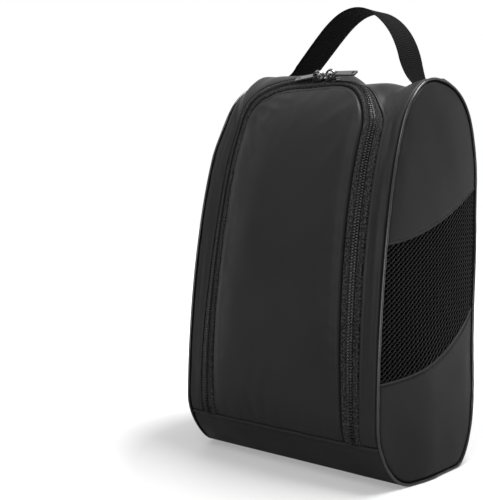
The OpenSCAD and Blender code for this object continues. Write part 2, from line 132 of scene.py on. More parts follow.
def quarter(a, d, level_first, hold, n):
    """Cubic curve without its end, level at one end and upright at the other: terms of (1 - t + t) cubed."""
    way = np.array([1, 0] if level_first else [0, 1])
    b, c = a + hold[0] * way * (d - a), d - hold[1] * way[::-1] * (d - a)
    t = np.linspace(0, 1, n, endpoint=False)[:, None]
    return a * (1 - t) ** 3 + b * 3 * t * (1 - t) ** 2 + c * 3 * t * t * (1 - t) + d * t**3


def make_outline():
    """From the middle of the base forward, up the front, over the crest and down the back."""
    knots = np.array([[BASE_FRONT_Y, 0], [-HALF_D, FRONT_BELLY_Z], [CREST_Y, BAG_H], [HALF_D, BACK_BELLY_Z],
                      [BASE_BACK_Y, 0]])
    curves = [quarter(knots[k], knots[k + 1], k % 2 == 0, HOLDS[k], CURVE_N[k]) for k in range(4)]
    foot, heel, middle = knots[0], knots[-1], (knots[0] + knots[-1]) / 2
    line = np.linspace(0, 1, BASE_N, endpoint=False)[:, None]
    return np.vstack([middle + (foot - middle) * line, *curves, heel + (middle - heel) * line, middle[None]])


OUTLINE = make_outline()
STATION = lengths(OUTLINE)
LOOP = STATION[-1]
CREST_I = int(np.argmax(OUTLINE[:, 1]))
FRONT, TOP = slice(BASE_N, CREST_I), slice(CREST_I, CREST_I + CURVE_N[2])
BACK = slice(-BASE_N - 1, CREST_I, -1)


def at(s):
    """Point of the outline at a length along it."""
    s = np.mod(s, LOOP)
    return np.stack([np.interp(s, STATION, OUTLINE[:, 0]), np.interp(s, STATION, OUTLINE[:, 1])], -1)


def normal(s):
    """Outward direction: the chord over a little way each way, turned by a right angle."""
    d = unit(at(s + CHORD) - at(s - CHORD))
    return np.stack([-d[..., 1], d[..., 0]], -1)


FRONT_SEAM = np.interp(FRONT_SEAM_Z, OUTLINE[FRONT, 1], STATION[FRONT])
TOP_SEAM = np.interp(TOP_SEAM_Y, OUTLINE[TOP, 0], STATION[TOP])
BACK_SEAM = np.interp(BACK_SEAM_Z, OUTLINE[BACK, 1], STATION[BACK])
STRAP_S = np.interp((STRAP_FRONT + STRAP_BACK) / 2, OUTLINE[TOP, 0], STATION[TOP])
FOOT = FRONT_SEAM + SEAM_GAP
ARC_X = ZIP_HALF_W - ZIP_CORNER_R
ARC_S = FRONT_SEAM + ZIP_RISE - ZIP_CORNER_R
RIM_X, RIM_S = HALF_W - 1.9 - SEAM_GAP, TOP_SEAM - SEAM_GAP
UPRIGHT_L, CORNER_L = ARC_S - FOOT, ZIP_CORNER_R * math.pi / 2
ZIP_HALF_L = UPRIGHT_L + CORNER_L + ARC_X
DOOR_R = ZIP_CORNER_R - TAPE_IN - SEAM_GAP


# ---- The cloth's surface ----

# How far the filled bag's parts lean, rise, sink or bulge
LEFT_LEAN, LEFT_TOP_LEAN, LEFT_BACKWARD = 4.2, 3.2, 4.5
LEFT_RISE, RIGHT_DROP, EDGE_RISE, EDGE_DROP = 4.6, 6.6, 5.0, 8.5
LOW_BULGE, BACK_WIDER, BACK_OUT, SHOULDER_SAG = 9.0, 1.0, 2.4, 14.8


def hump(s, a, b):
    """Sine from a to b, raised to 0.8."""
    return np.sin(np.pi * np.clip((s - a) / (b - a), 0, 1)) ** 0.8


def swell(x, s):
    """How far the filled bag stands out beyond its outline: a hump up the front and one down the back."""
    out = FRONT_SWELL * hump(s, FRONT_SEAM, TOP_SEAM) + BACK_SWELL * hump(s, TOP_SEAM, BACK_SEAM)
    return ease((HALF_W - np.abs(x)) / SWELL_RUN) * out


def from_zip(x, s):
    """Distance outward from the zip's middle line: its upright, its top or the round corner between them."""
    a, b = np.abs(x) - ARC_X, s - ARC_S
    return np.hypot(np.maximum(a, 0), np.maximum(b, 0)) + np.minimum(np.maximum(a, b), 0) - ZIP_CORNER_R


def sag(x, s):
    """The slack right shoulder sinks between the zip's corner and the side seam: smooth steps multiplied."""
    across = step(x, 6, 26) * (1 - step(x, 79, 27)) * step(from_zip(x, s), -11, 30)
    return SHOULDER_SAG * across * step(s, 340, 36) * (1 - step(s, 470, 100))


def skin(x, s, out=0.0):
    """Point of the bag's skin at a place across and along, and at a height off it."""
    x, s, out = np.broadcast_arrays(np.asarray(x, float), np.asarray(s, float), np.asarray(out, float))
    p, n, h = at(s), normal(s), swell(x, s) + out
    return np.stack([x, p[..., 0] + n[..., 0] * h, p[..., 1] + n[..., 1] * h - sag(x, s)], -1)


def slump(p):
    """The filled bag's stance in smooth steps: one shoulder sinks, one rises, and it bulges low down."""
    x, y, z = p.T
    out, wide = p.copy(), np.abs(x)
    left = step(z, 50, 190) * (1 - step(z, 296, 40)) * step(-x, 20, 50)
    out[:, 0] += LEFT_LEAN * left * (1 - 0.7 * step(-x, 98, 10))
    out[:, 0] += LEFT_TOP_LEAN * step(-x, 85, 20) * step(z, 275, 40)
    out[:, 1] += LEFT_BACKWARD * left * (1 - step(-x, 90, 16)) * step(-y, -40, 60)
    out[:, 2] += LEFT_RISE * step(z, 310, 70) * step(-x, 32, 70)
    out[:, 2] -= RIGHT_DROP * step(z, 300, 55) * step(x, 52, 56)
    out[:, 2] += (EDGE_RISE * step(-x, 72, 22) - EDGE_DROP * step(-x, 88, 24)) * step(z, 305, 48)
    out[:, 0] += np.sign(x) * LOW_BULGE * step(wide, 60, 50) * step(y, -68, 60) * (1 - ease(z / 150))
    back = ease(y / 60) * step(wide, 60, 50) * (step(z, 215, 60) + 1 - step(z, 30, 80))
    out[:, 0] += np.sign(x) * BACK_WIDER * back
    out[:, 1] += BACK_OUT * back
    return out


# Creases as start, end, width and height; a place is across and, from the front seam, along
CREASES = (
    ((107, 392), (74, 352), 6.0, 2.2), ((106, 380), (88, 318), 5.0, 1.6), ((100, 398), (56, 372), 7.0, 1.8),
    ((98, 405), (40, 398), 6.0, -1.2), ((104, 300), (99, 130), 3.4, 0.9), ((97, 330), (103, 210), 2.8, -0.7),
    ((105, 240), (100, 60), 3.6, 0.7), ((-104, 330), (-99, 120), 3.2, 1.2),
    ((-97, 300), (-103, 90), 3.0, -0.9), ((-106, 388), (-78, 345), 5.0, 1.8),
    ((-104, 398), (-58, 378), 6.5, 1.5), ((-92, 402), (-36, 404), 7.0, -1.0),
    ((-30, 398), (52, 392), 9.0, 1.0), ((-107, 372), (-92, 320), 4.5, -1.2),
)
BACK_CREASES = (
    ((-104, 420), (-60, 560), 9.0, 1.4), ((100, 428), (52, 545), 9.0, 1.6),
    ((-96, 690), (-50, 600), 10.0, 1.2), ((96, 688), (58, 610), 9.0, 1.3),
    ((-40, 470), (35, 500), 14.0, -1.2), ((20, 640), (-34, 600), 14.0, 0.9),
    ((106, 520), (98, 640), 4.0, 0.8), ((-106, 500), (-99, 620), 4.0, 0.9),
)
SIDE_FOLDS = (
    ((-66, 196), (-30, 300), 14.0, 0.4), ((40, 246), (20, 320), 16.0, 0.4),
    ((-60, 60), (-10, 30), 14.0, 0.4), ((70, 150), (45, 60), 12.0, 0.4),
)
DOOR_FOLDS = (
    ((-62, 282), (-34, 262), 3.4, 0.8), ((-56, 292), (-24, 280), 3.2, 0.7),
    ((-66, 268), (-46, 240), 3.4, 0.7), ((-45, 300), (-14, 292), 3.6, 0.6),
    ((60, 285), (30, 262), 4.0, 0.6), ((66, 262), (44, 222), 4.6, 0.6),
    ((-50, 60), (-28, 210), 16.0, 0.9), ((42, 80), (30, 230), 18.0, 0.8),
    ((-70, 30), (-66, 190), 3.6, 0.5), ((70, 40), (67, 210), 3.6, 0.5), ((-20, 24), (40, 30), 10.0, 0.8),
)


def crease(x, s, a, b, width, height):
    """A fold from a to b: a bell across the line between them, times a sine along it."""
    a, b = np.array(a, float) + [0, FRONT_SEAM], np.array(b, float) + [0, FRONT_SEAM]
    run = b - a
    t = ((x - a[0]) * run[0] + (s - a[1]) * run[1]) / (run @ run)
    off = ((x - a[0]) * run[1] - (s - a[1]) * run[0]) / math.sqrt(run @ run)
    return height * bell(off, 0, width) * np.sin(np.pi * np.clip(t * 0.9 + 0.05, 0, 1)) ** 0.7


def uneven(x, s, seed):
    """Slight waviness of sewn cloth: products of sines of unlike lengths."""
    return (0.32 * np.sin(x / 19 + 1.3 * np.sin(s / 41) + seed) * np.sin(s / 33 + 2 * seed)
            + 0.14 * np.sin(x / 8.3 + s / 15.1 + 3 * seed) + 0.1 * np.sin(s / 7.7 - x / 12.4 + seed))


def relief(x, s, creases, seed):
    """All the folds of a panel and its waviness, by the user's fold depth."""
    depth = bpy.context.scene.shoe_bag_sizes.fold_depth
    return depth * sum((crease(x, s, *c) for c in creases), uneven(x, s, seed))


def tucked(d, tuck=1.7, reach=3.2):
    """Cloth that turns down into a seam: a quarter circle over its last stretch."""
    return -tuck * (1 - np.sqrt(1 - (1 - np.clip(d / reach, 0, 1)) ** 2))


def puckers(d, along, seed, depth=0.32):
    """Small gathers along a seam that fade away from it: a sine of wandering length times a bell."""
    phase = along / 5.1 + 1.7 * np.sin(along / 23 + seed) + 0.8 * np.sin(along / 9.7 + 2 * seed)
    fade = np.exp(-((np.maximum(d, 0) / 7.0) ** 1.3))
    return depth * np.sin(phase) * fade * (0.6 + 0.4 * np.sin(along / 31 + seed))


# Marks across a hem, from its edge: close where the cloth rolls over
HEM = np.array([0, 0.2, 0.5, 0.9, 1.3, 1.7, 2.1, 2.5, 3.1, 4.0])


def spread(total, n):
    """Places across pieces of each total width: hem marks from both edges and n even ones between."""
    total = np.atleast_1d(np.asarray(total, float))[:, None]
    even = HEM[-1] + (total - 2 * HEM[-1]) * np.linspace(0, 1, n + 2)[1:-1]
    return np.hstack([HEM * np.ones_like(total), even, total - HEM[::-1]])


# ---- Meshes from grids ----


def add_object(name, data):
    """A new object at the origin, in the scene."""
    obj = bpy.data.objects.new(name, data)
    bpy.context.scene.collection.objects.link(obj)
    return obj


def outward(verts, quads, uv):
    """Turns the faces so that the shape's volume, summed from its face pyramids, is positive."""
    a, b, c, d = (verts[quads[:, k]] - verts.mean(0) for k in range(4))
    volume = (a * np.cross(b, c)).sum() + (a * np.cross(c, d)).sum()
    return verts, quads if volume > 0 else quads[:, ::-1], uv


def strip(rings, uv=None, closed=False):
    """Skin over rings of points, row by row, each ring closed; open ends are closed with strips of faces."""
    rows, cols = rings.shape[:2]
    i, j = np.arange(rows if closed else rows - 1)[:, None], np.arange(cols)[None]
    here, there, after = i * cols, ((i + 1) % rows) * cols, (j + 1) % cols
    quads = np.stack([here + j, there + j, there + after, here + after], -1).reshape(-1, 4)
    if not closed:
        j = np.arange(cols // 2 - 1)
        start = np.stack([j, j + 1, cols - 2 - j, cols - 1 - j], -1)
        quads = np.concatenate([quads, start, start[:, ::-1] + (rows - 1) * cols])
    if uv is None:
        around = np.linalg.norm(rings - np.roll(rings, 1, axis=1), axis=2).mean(0).cumsum()
        uv = np.stack(np.broadcast_arrays(around[None], lengths(rings.mean(1))[:, None]), -1)
    return outward(rings.reshape(-1, 3), quads, uv.reshape(-1, 2))


def sheet_part(outer, inner, uv):
    """A closed sheet between two grids: each ring is a row of the outer one and the inner one's row back."""
    return strip(*(np.concatenate([a, b[:, ::-1]], axis=1) for a, b in ((outer, inner), (uv, uv))))


def tube(centre, ref, radius, sides, closed=False):
    """A round tube: rings at right angles to the line, turned by a reference direction."""
    run = unit(np.roll(centre, -1, 0) - np.roll(centre, 1, 0) if closed else np.gradient(centre, axis=0))
    side = unit(np.cross(run, ref))
    up = np.cross(side, run)
    a = 2 * np.pi * (np.arange(sides) + 0.5) / sides
    r = np.broadcast_to(np.asarray(radius, float), (len(centre),))[:, None, None]
    return centre[:, None] + (side[:, None] * np.cos(a)[:, None] + up[:, None] * np.sin(a)[:, None]) * r


def stitch_line(points, up, width=0.32, height=0.28):
    """Stitches at an even pitch along a line: six-sided grains, round at both ends."""
    pitch, far = size("stitch_pitch"), lengths(points)
    mid = np.arange(pitch / 2, far[-1], pitch)

    def get(v, f):
        return np.stack([np.interp(f, far, v[:, k]) for k in range(3)], -1)

    run, up = unit(get(points, mid + 0.5) - get(points, mid - 0.5))[:, None, None], unit(get(up, mid))
    side, up = np.cross(run[:, 0, 0], up)[:, None, None], up[:, None, None]
    along = np.array([-0.5, -0.36, 0, 0.36, 0.5])[:, None, None] * (pitch * 0.74)
    fat = np.array([0.35, 0.85, 1, 0.85, 0.35])[:, None, None]
    a = 2 * np.pi * np.arange(6)[:, None] / 6
    ring = side * np.cos(a) * width + up * np.sin(a) * height
    p = get(points, mid)[:, None, None] + run * along + ring * fat
    quads, verts = strip(p[0])[1], p.reshape(-1, 3)
    many = (quads[None] + 30 * np.arange(len(p))[:, None, None]).reshape(-1, 4)
    return verts, many, np.zeros((len(verts), 2))


def put(name, parts, look, slot, *nodes, body="bag", weld=False, flat_angle=50):
    """Joins parts, in millimetres, into one object that stands for frame nodes and hangs under its body's
    empty; a door piece has its place baked in instead, and one with no body is left unparented.
    """
    first = np.cumsum([0] + [len(part[0]) for part in parts])
    verts, uv = (np.concatenate([part[k] for part in parts]) for k in (0, 2))
    quads = np.concatenate([part[1] + n for part, n in zip(parts, first)])
    mesh = bpy.data.meshes.new(name)
    mesh.from_pydata((slump(verts) * MM).tolist(), [], quads.tolist())
    places = mesh.uv_layers.new(name="Cloth")
    places.data.foreach_set("uv", (uv[quads.ravel()] * MM).astype(np.float32).ravel())
    if weld:
        bm = bmesh.new()
        bm.from_mesh(mesh)
        bmesh.ops.remove_doubles(bm, verts=bm.verts, dist=2e-6)
        bm.to_mesh(mesh)
        bm.free()
    mesh.shade_smooth()
    mesh.set_sharp_from_angle(angle=math.radians(flat_angle))
    mesh.materials.append(look)
    obj = add_object(name, mesh)
    if nodes:
        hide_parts(*nodes)
    if body == "door":
        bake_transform(obj)
    elif body:
        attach(obj, body)
    return obj


def put_layer(name, x, s, top, bottom, look, slot, *nodes, body="bag"):
    """One layer of cloth between two heights off the skin."""
    uv = np.stack([x, s], -1)
    return put(name, [sheet_part(skin(x, s, top), skin(x, s, bottom), uv)], look, slot, *nodes, body=body)


def put_stitches(name, parts, slot, body="bag"):
    """Rows of stitches in sewing thread."""
    yarn = finish("Sewing thread", (0.009, 0.009, 0.0093), 0.5, bump=0.00001, uv=False)
    return put(name, parts, yarn, slot, body=body, flat_angle=80)


def dress(name, look):
    """A new finish for a frame node that keeps its shape."""
    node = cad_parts[name]
    node.data.materials.clear()
    node.data.materials.append(look)


# ---- Filling ----


def settle(p, outward_dir, held, pressure, growth=0.003, cap=5.0, frames=20):
    """Cloth simulation of a panel filled from behind, its rim held; gives each point's capped height."""
    rows, cols = held.shape
    i, j = np.arange(rows - 1)[:, None] * cols, np.arange(cols - 1)[None]
    quads = np.stack([i + j, i + j + 1, i + cols + j + 1, i + cols + j], -1)
    mesh = bpy.data.meshes.new("settling")
    mesh.from_pydata((p.reshape(-1, 3) * MM).tolist(), [], quads.reshape(-1, 4).tolist())
    obj = add_object("settling", mesh)
    obj.vertex_groups.new(name="held").add(np.flatnonzero(held).tolist(), 1.0, "REPLACE")
    cloth = obj.modifiers.new("Cloth", "CLOTH")
    rules = cloth.settings
    rules.quality, rules.mass, rules.vertex_group_mass = 6, 0.3, "held"
    rules.tension_stiffness = rules.compression_stiffness = 15.0
    rules.shear_stiffness, rules.bending_stiffness = 5.0, 0.3
    rules.use_pressure, rules.uniform_pressure_force, rules.shrink_min = True, pressure, -growth
    rules.effector_weights.gravity = 0
    cloth.collision_settings.use_collision = False
    cloth.point_cache.frame_start, cloth.point_cache.frame_end = 1, frames
    for f in range(1, frames + 1):
        bpy.context.scene.frame_set(f)
    after = np.empty(held.size * 3, np.float32)
    obj.evaluated_get(bpy.context.evaluated_depsgraph_get()).data.vertices.foreach_get("co", after)
    bpy.data.objects.remove(obj)
    bpy.data.meshes.remove(mesh)
    bpy.context.scene.frame_set(1)
    return np.clip(((after.reshape(p.shape) / MM - p) * outward_dir).sum(-1), -cap, cap)


def filled(x, s, held, seed, pressure):
    """Heights of a filled panel, started slightly uneven so that it wrinkles as worn cloth does."""
    n = np.stack([0 * x, *np.moveaxis(normal(s), -1, 0)], -1)
    return settle(skin(x, s, 0.35 * uneven(x, s, seed) * ~held), n, held, pressure)


def sample(height, rows_s, x, s):
    """A coarse panel's heights at the places of a fine one: bilinear, by length along and share across."""
    r = np.interp(s, rows_s, np.arange(len(rows_s)))
    c = (x / np.maximum(x[:, -1:], 1e-6) + 1) / 2 * (height.shape[1] - 1)
    i, j = (np.clip(np.floor(v).astype(int), 0, n - 2) for v, n in zip((r, c), height.shape))
    u, v = r - i, np.clip(c - j, 0, 1)
    near, far = (height[k, j] * (1 - v) + height[k, j + 1] * v for k in (i, i + 1))
    return near * (1 - u) + far * u


# ---- Finishes ----


def group(name, inputs, outputs):
    """A new node group with a place and float inputs, and float outputs; returns it and its two ends."""
    tree = bpy.data.node_groups.new(name, "ShaderNodeTree")
    socket = tree.interface.new_socket
    socket(name="Place", in_out="INPUT", socket_type="NodeSocketVector")
    for label, value in inputs.items():
        socket(name=label, in_out="INPUT", socket_type="NodeSocketFloat").default_value = value
    for label in outputs:
        socket(name=label, in_out="OUTPUT", socket_type="NodeSocketFloat")
    return tree, tree.nodes.new("NodeGroupInput"), tree.nodes.new("NodeGroupOutput")


def add_node(tree, kind, place=None, **values):
    """A node with a linked vector and plain values on its named inputs."""
    node = tree.nodes.new("ShaderNode" + kind)
    if place is not None:
        tree.links.new(place, node.inputs["Vector"])
    return set_inputs(node, **values)


def set_inputs(node, **values):
    """Sets inputs by name, where an underscore stands for a space."""
    for label, value in values.items():
        node.inputs[label.replace("_", " ")].default_value = value
    return node


def maths(tree, kind, a, b=None, clamp=False):
    """A maths node on two values or sockets; returns its result."""
    node = tree.nodes.new("ShaderNodeMath")
    node.operation, node.use_clamp = kind, clamp
    for socket, value in zip(node.inputs, (a, b)):
        if isinstance(value, (int, float)):
            socket.default_value = value
        elif value is not None:
            tree.links.new(value, socket)
    return node.outputs[0]


def plus(tree, a, b, clamp=False):
    """Sum of two values."""
    return maths(tree, "ADD", a, b, clamp)


def times(tree, a, b, clamp=False):
    """Product of two values."""
    return maths(tree, "MULTIPLY", a, b, clamp)


def half_sines(tree, turns, rate=math.pi):
    """A row of humps: the sine's size at a rate."""
    return maths(tree, "ABSOLUTE", maths(tree, "SINE", times(tree, turns, rate)))


def noise(tree, place, scale, detail, rough=0.5):
    """A noise texture, as a value."""
    return add_node(tree, "TexNoise", place, Scale=scale, Detail=detail, Roughness=rough).outputs[0]


def ramp(tree, value, low, high, to_low=0.0, to_high=1.0):
    """Maps a value from one range to another, held at both ends."""
    node = tree.nodes.new("ShaderNodeMapRange")
    for socket, v in zip(list(node.inputs)[1:5], (low, high, to_low, to_high)):
        socket.default_value = v
    tree.links.new(value, node.inputs[0])
    return node.outputs[0]


def plain_weave(tree, u, v):
    """Over one thread and under the next, each thread a half sine across its width."""
    warp, weft = half_sines(tree, u), half_sines(tree, v)
    over = maths(tree, "FLOORED_MODULO", plus(tree, maths(tree, "FLOOR", u), maths(tree, "FLOOR", v)), 2.0)
    return plus(tree, times(tree, warp, over), times(tree, weft, maths(tree, "SUBTRACT", 1.0, over)))


def slanted_ribs(tree, u, v):
    """Short ribs that slant one way and then the other, in narrow rows."""
    rib, row = half_sines(tree, plus(tree, v, maths(tree, "PINGPONG", u, 1.0))), half_sines(tree, u)
    return times(tree, rib, plus(tree, times(tree, row, 0.5), 0.5))


def straight_ribs(tree, u, v):
    """Ribs across the strap, each a half sine, bowed a little and crossed by faint warp lines."""
    bow = times(tree, maths(tree, "SINE", times(tree, u, 0.61)), 0.12)
    rib, warp = half_sines(tree, plus(tree, v, bow)), half_sines(tree, u, 2 * math.pi)
    return times(tree, rib, plus(tree, times(tree, warp, 0.3), 0.7))


WEAVES = {
    "weave": ("Plain weave", 0.0005, plain_weave),
    "twill": ("Webbing weave", 0.0016, slanted_ribs),
    "rib": ("Webbing ribs", 0.0019, straight_ribs),
}


def weave_group(name, pitch, pattern):
    """A weave: its pattern's height at a place, counted in threads of the pitch."""
    tree, start, end = group(name, {"Pitch": pitch}, ("Height",))
    x, y, _ = add_node(tree, "SeparateXYZ", start.outputs["Place"]).outputs
    u, v = (maths(tree, "DIVIDE", q, start.outputs["Pitch"]) for q in (x, y))
    tree.links.new(pattern(tree, u, v), end.inputs["Height"])
    return tree


def wear_group():
    """Use and age: broad and fine variation of the surface, and dust that settles on what faces up."""
    tree, start, end = group("Use and dust", {"Dust": 0.2}, ("Broad", "Fine", "Dust"))
    place = start.outputs["Place"]
    facing = tree.nodes.new("ShaderNodeNewGeometry").outputs["Normal"]
    up = ramp(tree, add_node(tree, "SeparateXYZ", facing).outputs[2], 0.1, 1.0)
    specks = ramp(tree, noise(tree, place, 2600, 1), 0.60, 0.74)
    patch = ramp(tree, noise(tree, place, 30, 3), 0.35, 0.75)
    dust = times(tree, times(tree, up, patch), plus(tree, specks, 0.25))
    tree.links.new(ramp(tree, noise(tree, place, 14, 2), 0.3, 0.7), end.inputs["Broad"])
    tree.links.new(noise(tree, place, 900, 2, 0.6), end.inputs["Fine"])
    tree.links.new(times(tree, dust, start.outputs["Dust"], True), end.inputs["Dust"])
    return tree


GROUPS = {}
DUST_COLOUR = (0.16, 0.155, 0.15, 1)


def use_group(tree, key, place, **values):
    """A group node in a material; its group is made once."""
    if key not in GROUPS:
        GROUPS[key] = weave_group(*WEAVES[key]) if key in WEAVES else wear_group()
    node = tree.nodes.new("ShaderNodeGroup")
    node.node_tree = GROUPS[key]
    tree.links.new(place, node.inputs["Place"])
    return set_inputs(node, **values).outputs


def mixed(tree, factor, a, b, clamp=True):
    """A colour between two by a factor, which may run past them where it isn't clamped."""
    node = tree.nodes.new("ShaderNodeMix")
    node.data_type, node.clamp_factor = "RGBA", clamp
    tree.links.new(factor, node.inputs["Factor"])
    node.inputs["B"].default_value = b
    if isinstance(a, tuple):
        node.inputs["A"].default_value = a
    else:
        tree.links.new(a, node.inputs["A"])
    return node.outputs["Result"]


def new_material(name):
    """A material with nodes; returns it, its tree and its shader."""
    mat = bpy.data.materials.new(name)
    mat.use_nodes = True
    return mat, mat.node_tree, mat.node_tree.nodes["Principled BSDF"]


def finish(name, colour, roughness, spread_r=0.06, lighter=1.5, weave=None, weave_depth=0.0, thread_shade=0.25,
           bump=0.0, dust=0.04, specular=0.2, coat=0.0, metallic=0.0, uv=True, heather=0.0):
    """A material: colour and roughness vary with wear, threads and grain stand up, the hollows between
    threads carry painted shade and the thread tops a painted lighter tone, dust lies on top.
    """
    if bpy.data.materials.get(name):
        return bpy.data.materials[name]
    mat, tree, shader = new_material(name)
    place = tree.nodes.new("ShaderNodeTexCoord").outputs
    cloth = place["UV" if uv else "Object"]
    use = use_group(tree, "wear", place["Object"], Dust=dust)
    tone = ramp(tree, use["Broad"], 0, 1, 0.0, 0.5)
    height = ramp(tree, use["Fine"], 0.2, 0.8, 0.0, bump)
    if weave:
        threads = use_group(tree, weave[0], cloth, Pitch=weave[1])["Height"]
        height = plus(tree, height, times(tree, threads, weave_depth))
        # Painted shade: the colour darkens where the threads sink and lightens where they stand up, by the
        # thread shade amount
        tone = plus(tree, tone, ramp(tree, threads, 0.2, 1.0, -thread_shade, thread_shade))
    if heather:
        stretched = add_node(tree, "Mapping", cloth, Scale=(1.0, 0.7, 1.0)).outputs[0]
        fleck = ramp(tree, noise(tree, stretched, 800, 2, 0.7), 0.46, 0.58)
        tone = plus(tree, tone, times(tree, fleck, heather))
    base = mixed(tree, tone, (*colour, 1), (*(c * lighter for c in colour), 1), clamp=False)
    tree.links.new(mixed(tree, use["Dust"], base, DUST_COLOUR), shader.inputs["Base Color"])
    rough = ramp(tree, use["Broad"], 0, 1, roughness - spread_r, roughness + spread_r)
    rough = plus(tree, rough, times(tree, use["Dust"], 0.3), True)
    tree.links.new(rough, shader.inputs["Roughness"])
    raised = add_node(tree, "Bump", Distance=1.0)
    tree.links.new(height, raised.inputs["Height"])
    tree.links.new(raised.outputs[0], shader.inputs["Normal"])
    set_inputs(shader, Specular_IOR_Level=specular, Coat_Weight=coat, Coat_Roughness=0.2, Metallic=metallic)
    return mat


def shell_cloth():
    """Coated plain weave of the shell."""
    look = bpy.context.scene.shoe_bag_look
    return finish("Coated shell cloth", look.shell, look.shell_roughness, weave=("weave", look.weave_pitch),
                  weave_depth=0.000012, bump=0.00001, specular=0.1)


def lining_cloth():
    """Thin plain weave of the linings and bindings."""
    return finish("Lining cloth", bpy.context.scene.shoe_bag_look.lining, 0.72, weave=("weave", 0.0004),
                  weave_depth=0.00003, bump=0.00001, specular=0.08, dust=0.0)


# ---- Settings ----


def length(name, description, default, low, high):
    """A length that a user may change, in metres."""
    return FloatProperty(name=name, description=description, default=default, min=low, max=high,
                         unit="LENGTH")


def tint(name, description, default):
    """A colour that a user may change."""
    return FloatVectorProperty(name=name, description=description, default=default, min=0, max=1,
                               subtype="COLOR")


class BagSizes(bpy.types.PropertyGroup):
    """Sizes of the sewn pieces that a user may change."""

    fold_depth: FloatProperty(name="Fold depth", description="Depth of the folds, as a share of a worn bag's",
                              default=1.0, min=0.0, max=2.0)
    piping_r: length("Piping radius", "Radius of the covered cord along the side seams", 0.0012, 0.001, 0.004)
    side_crown: length("Side crown", "How far the side panels bow out in their middle", 0.0034, 0.0, 0.006)
    door_crown: length("Door crown", "How far the padded door bows out in its middle", 0.0003, 0.0, 0.006)
    net_rise: length("Net cell height", "Height of one diamond of the net", 0.0041, 0.002, 0.01)
    net_thread: length("Net thread", "Thickness of the net's front threads", 0.00084, 0.0004, 0.002)
    coil_pitch: length("Coil pitch", "Distance between the turns of the zip's coil", 0.0024, 0.001, 0.003)
    stitch_pitch: length("Stitch pitch", "Distance from one stitch to the next", 0.0031, 0.002, 0.006)
    rib_pitch: length("Webbing rib pitch", "Distance between the ribs of the webbing", 0.0019, 0.001, 0.004)
    piping_sides: IntProperty(name="Piping sides", description="Faces round the piping cord",
                              default=12, min=6, max=24)


class BagLook(bpy.types.PropertyGroup):
    """Colours and gloss of the bag."""

    shell: tint("Shell", "Colour of the coated shell cloth", (0.0098, 0.0098, 0.0100))
    lining: tint("Lining", "Colour of the lining", (0.0035, 0.0035, 0.0036))
    webbing: tint("Webbing", "Colour of the handle's webbing", (0.0024, 0.0024, 0.0025))
    tape: tint("Zip tape", "Colour of the zip's woven tape", (0.0022, 0.0022, 0.0023))
    metal: tint("Sliders", "Colour of the painted sliders", (0.07, 0.07, 0.073))
    shell_roughness: FloatProperty(name="Shell roughness", description="Roughness of the shell cloth",
                                   default=0.45, min=0.2, max=1.0, subtype="FACTOR")
    weave_pitch: length("Weave pitch", "Distance between the shell's threads", 0.00045, 0.0002, 0.002)


def size(name):
    """A size from the settings, in millimetres."""
    return getattr(bpy.context.scene.shoe_bag_sizes, name) / MM


# ---- Shell ----


def zip_rows(gap):
    """Rows across the zip's path, up the left, over and down the right: place and outward direction."""
    low = FOOT + HEM
    up = np.r_[low, np.linspace(low[-1], ARC_S, int((ARC_S - low[-1]) / gap))[1:-1]]
    w, h = RIM_X - ARC_X, RIM_S - ARC_S
    side = np.arctan2(np.linspace(0, h, int(h / gap)), w)
    a = np.r_[side, np.arctan2(h, np.linspace(w, 0, int(w / gap)))[1:]]
    top = np.linspace(ARC_X, -ARC_X, int(2 * ARC_X / gap))[1:-1]
    c, n = np.cos(a), np.sin(a)
    right = np.vstack([
        np.stack([ZIP_HALF_W + 0 * up, up, 1 + 0 * up, 0 * up], 1),
        np.stack([ARC_X + ZIP_CORNER_R * c, ARC_S + ZIP_CORNER_R * n, c, n], 1),
    ])
    middle = np.stack([top, ARC_S + ZIP_CORNER_R + 0 * top, 0 * top, 1 + 0 * top], 1)
    return np.vstack([right * [-1, 1, -1, 1], middle[::-1], right[::-1]])


def rim_of(q, inset):
    """The border's outer edge facing each row: where its ray from the corner's middle meets the rim."""
    w, h = RIM_X - ARC_X - inset, RIM_S - ARC_S - inset
    c, n = np.abs(q[:, 2]), q[:, 3]
    reach = np.minimum(w / np.maximum(c, 1e-6), h / np.maximum(n, 1e-6))
    x = np.where(c < 1e-6, q[:, 0], np.sign(q[:, 2]) * (ARC_X + reach * c))
    return np.stack([x, np.where(n < 1e-6, q[:, 1], ARC_S + reach * n)], 1)


def surround_grid(inset=0.0, cols=30, gap=3.0):
    """Straight rows from the zip's hem to the rim: path, places, and distances from hem and rim."""
    q = zip_rows(gap)
    a, c = q[:, :2] + (TAPE_OUT + SEAM_GAP) * q[:, 2:], rim_of(q, inset)
    total = np.linalg.norm(c - a, axis=1)
    d = spread(total, cols)
    place = a[:, None] + (c - a)[:, None] * (d / total[:, None])[..., None]
    return q, place[..., 0], place[..., 1], d, total[:, None] - d


def surround_out(q, x, s, d, rim):
    """The border's height: a turned edge, ditch and gathers by the zip, tucks at the seams, and folds."""
    along = lengths(q[:, :2])[:, None]
    by_zip = tucked(d, tuck=0.9, reach=1.0) - 0.2 * bell(d, 2.9, 0.8)
    by_zip += puckers(d, along, seed=1.0, depth=0.22)
    calm = ease(d / 9) * ease(rim / 7) * ease((s - FOOT) / 12)
    gathers = puckers(np.minimum(rim, TOP_SEAM - s), s + x, seed=2.0, depth=0.4)
    by_seam = tucked(rim, tuck=3.2, reach=2.6) + tucked(s - FOOT, tuck=2.2, reach=2.2)
    return by_zip + by_seam + gathers + calm * relief(x, s, CREASES, 0.7)


def panel_grid(half_w, a, b, cols, rows):
    """Even places across and along a panel, closer at its hems."""
    return np.meshgrid(spread(2 * half_w, cols)[0] - half_w, a + spread(b - a, rows)[0])


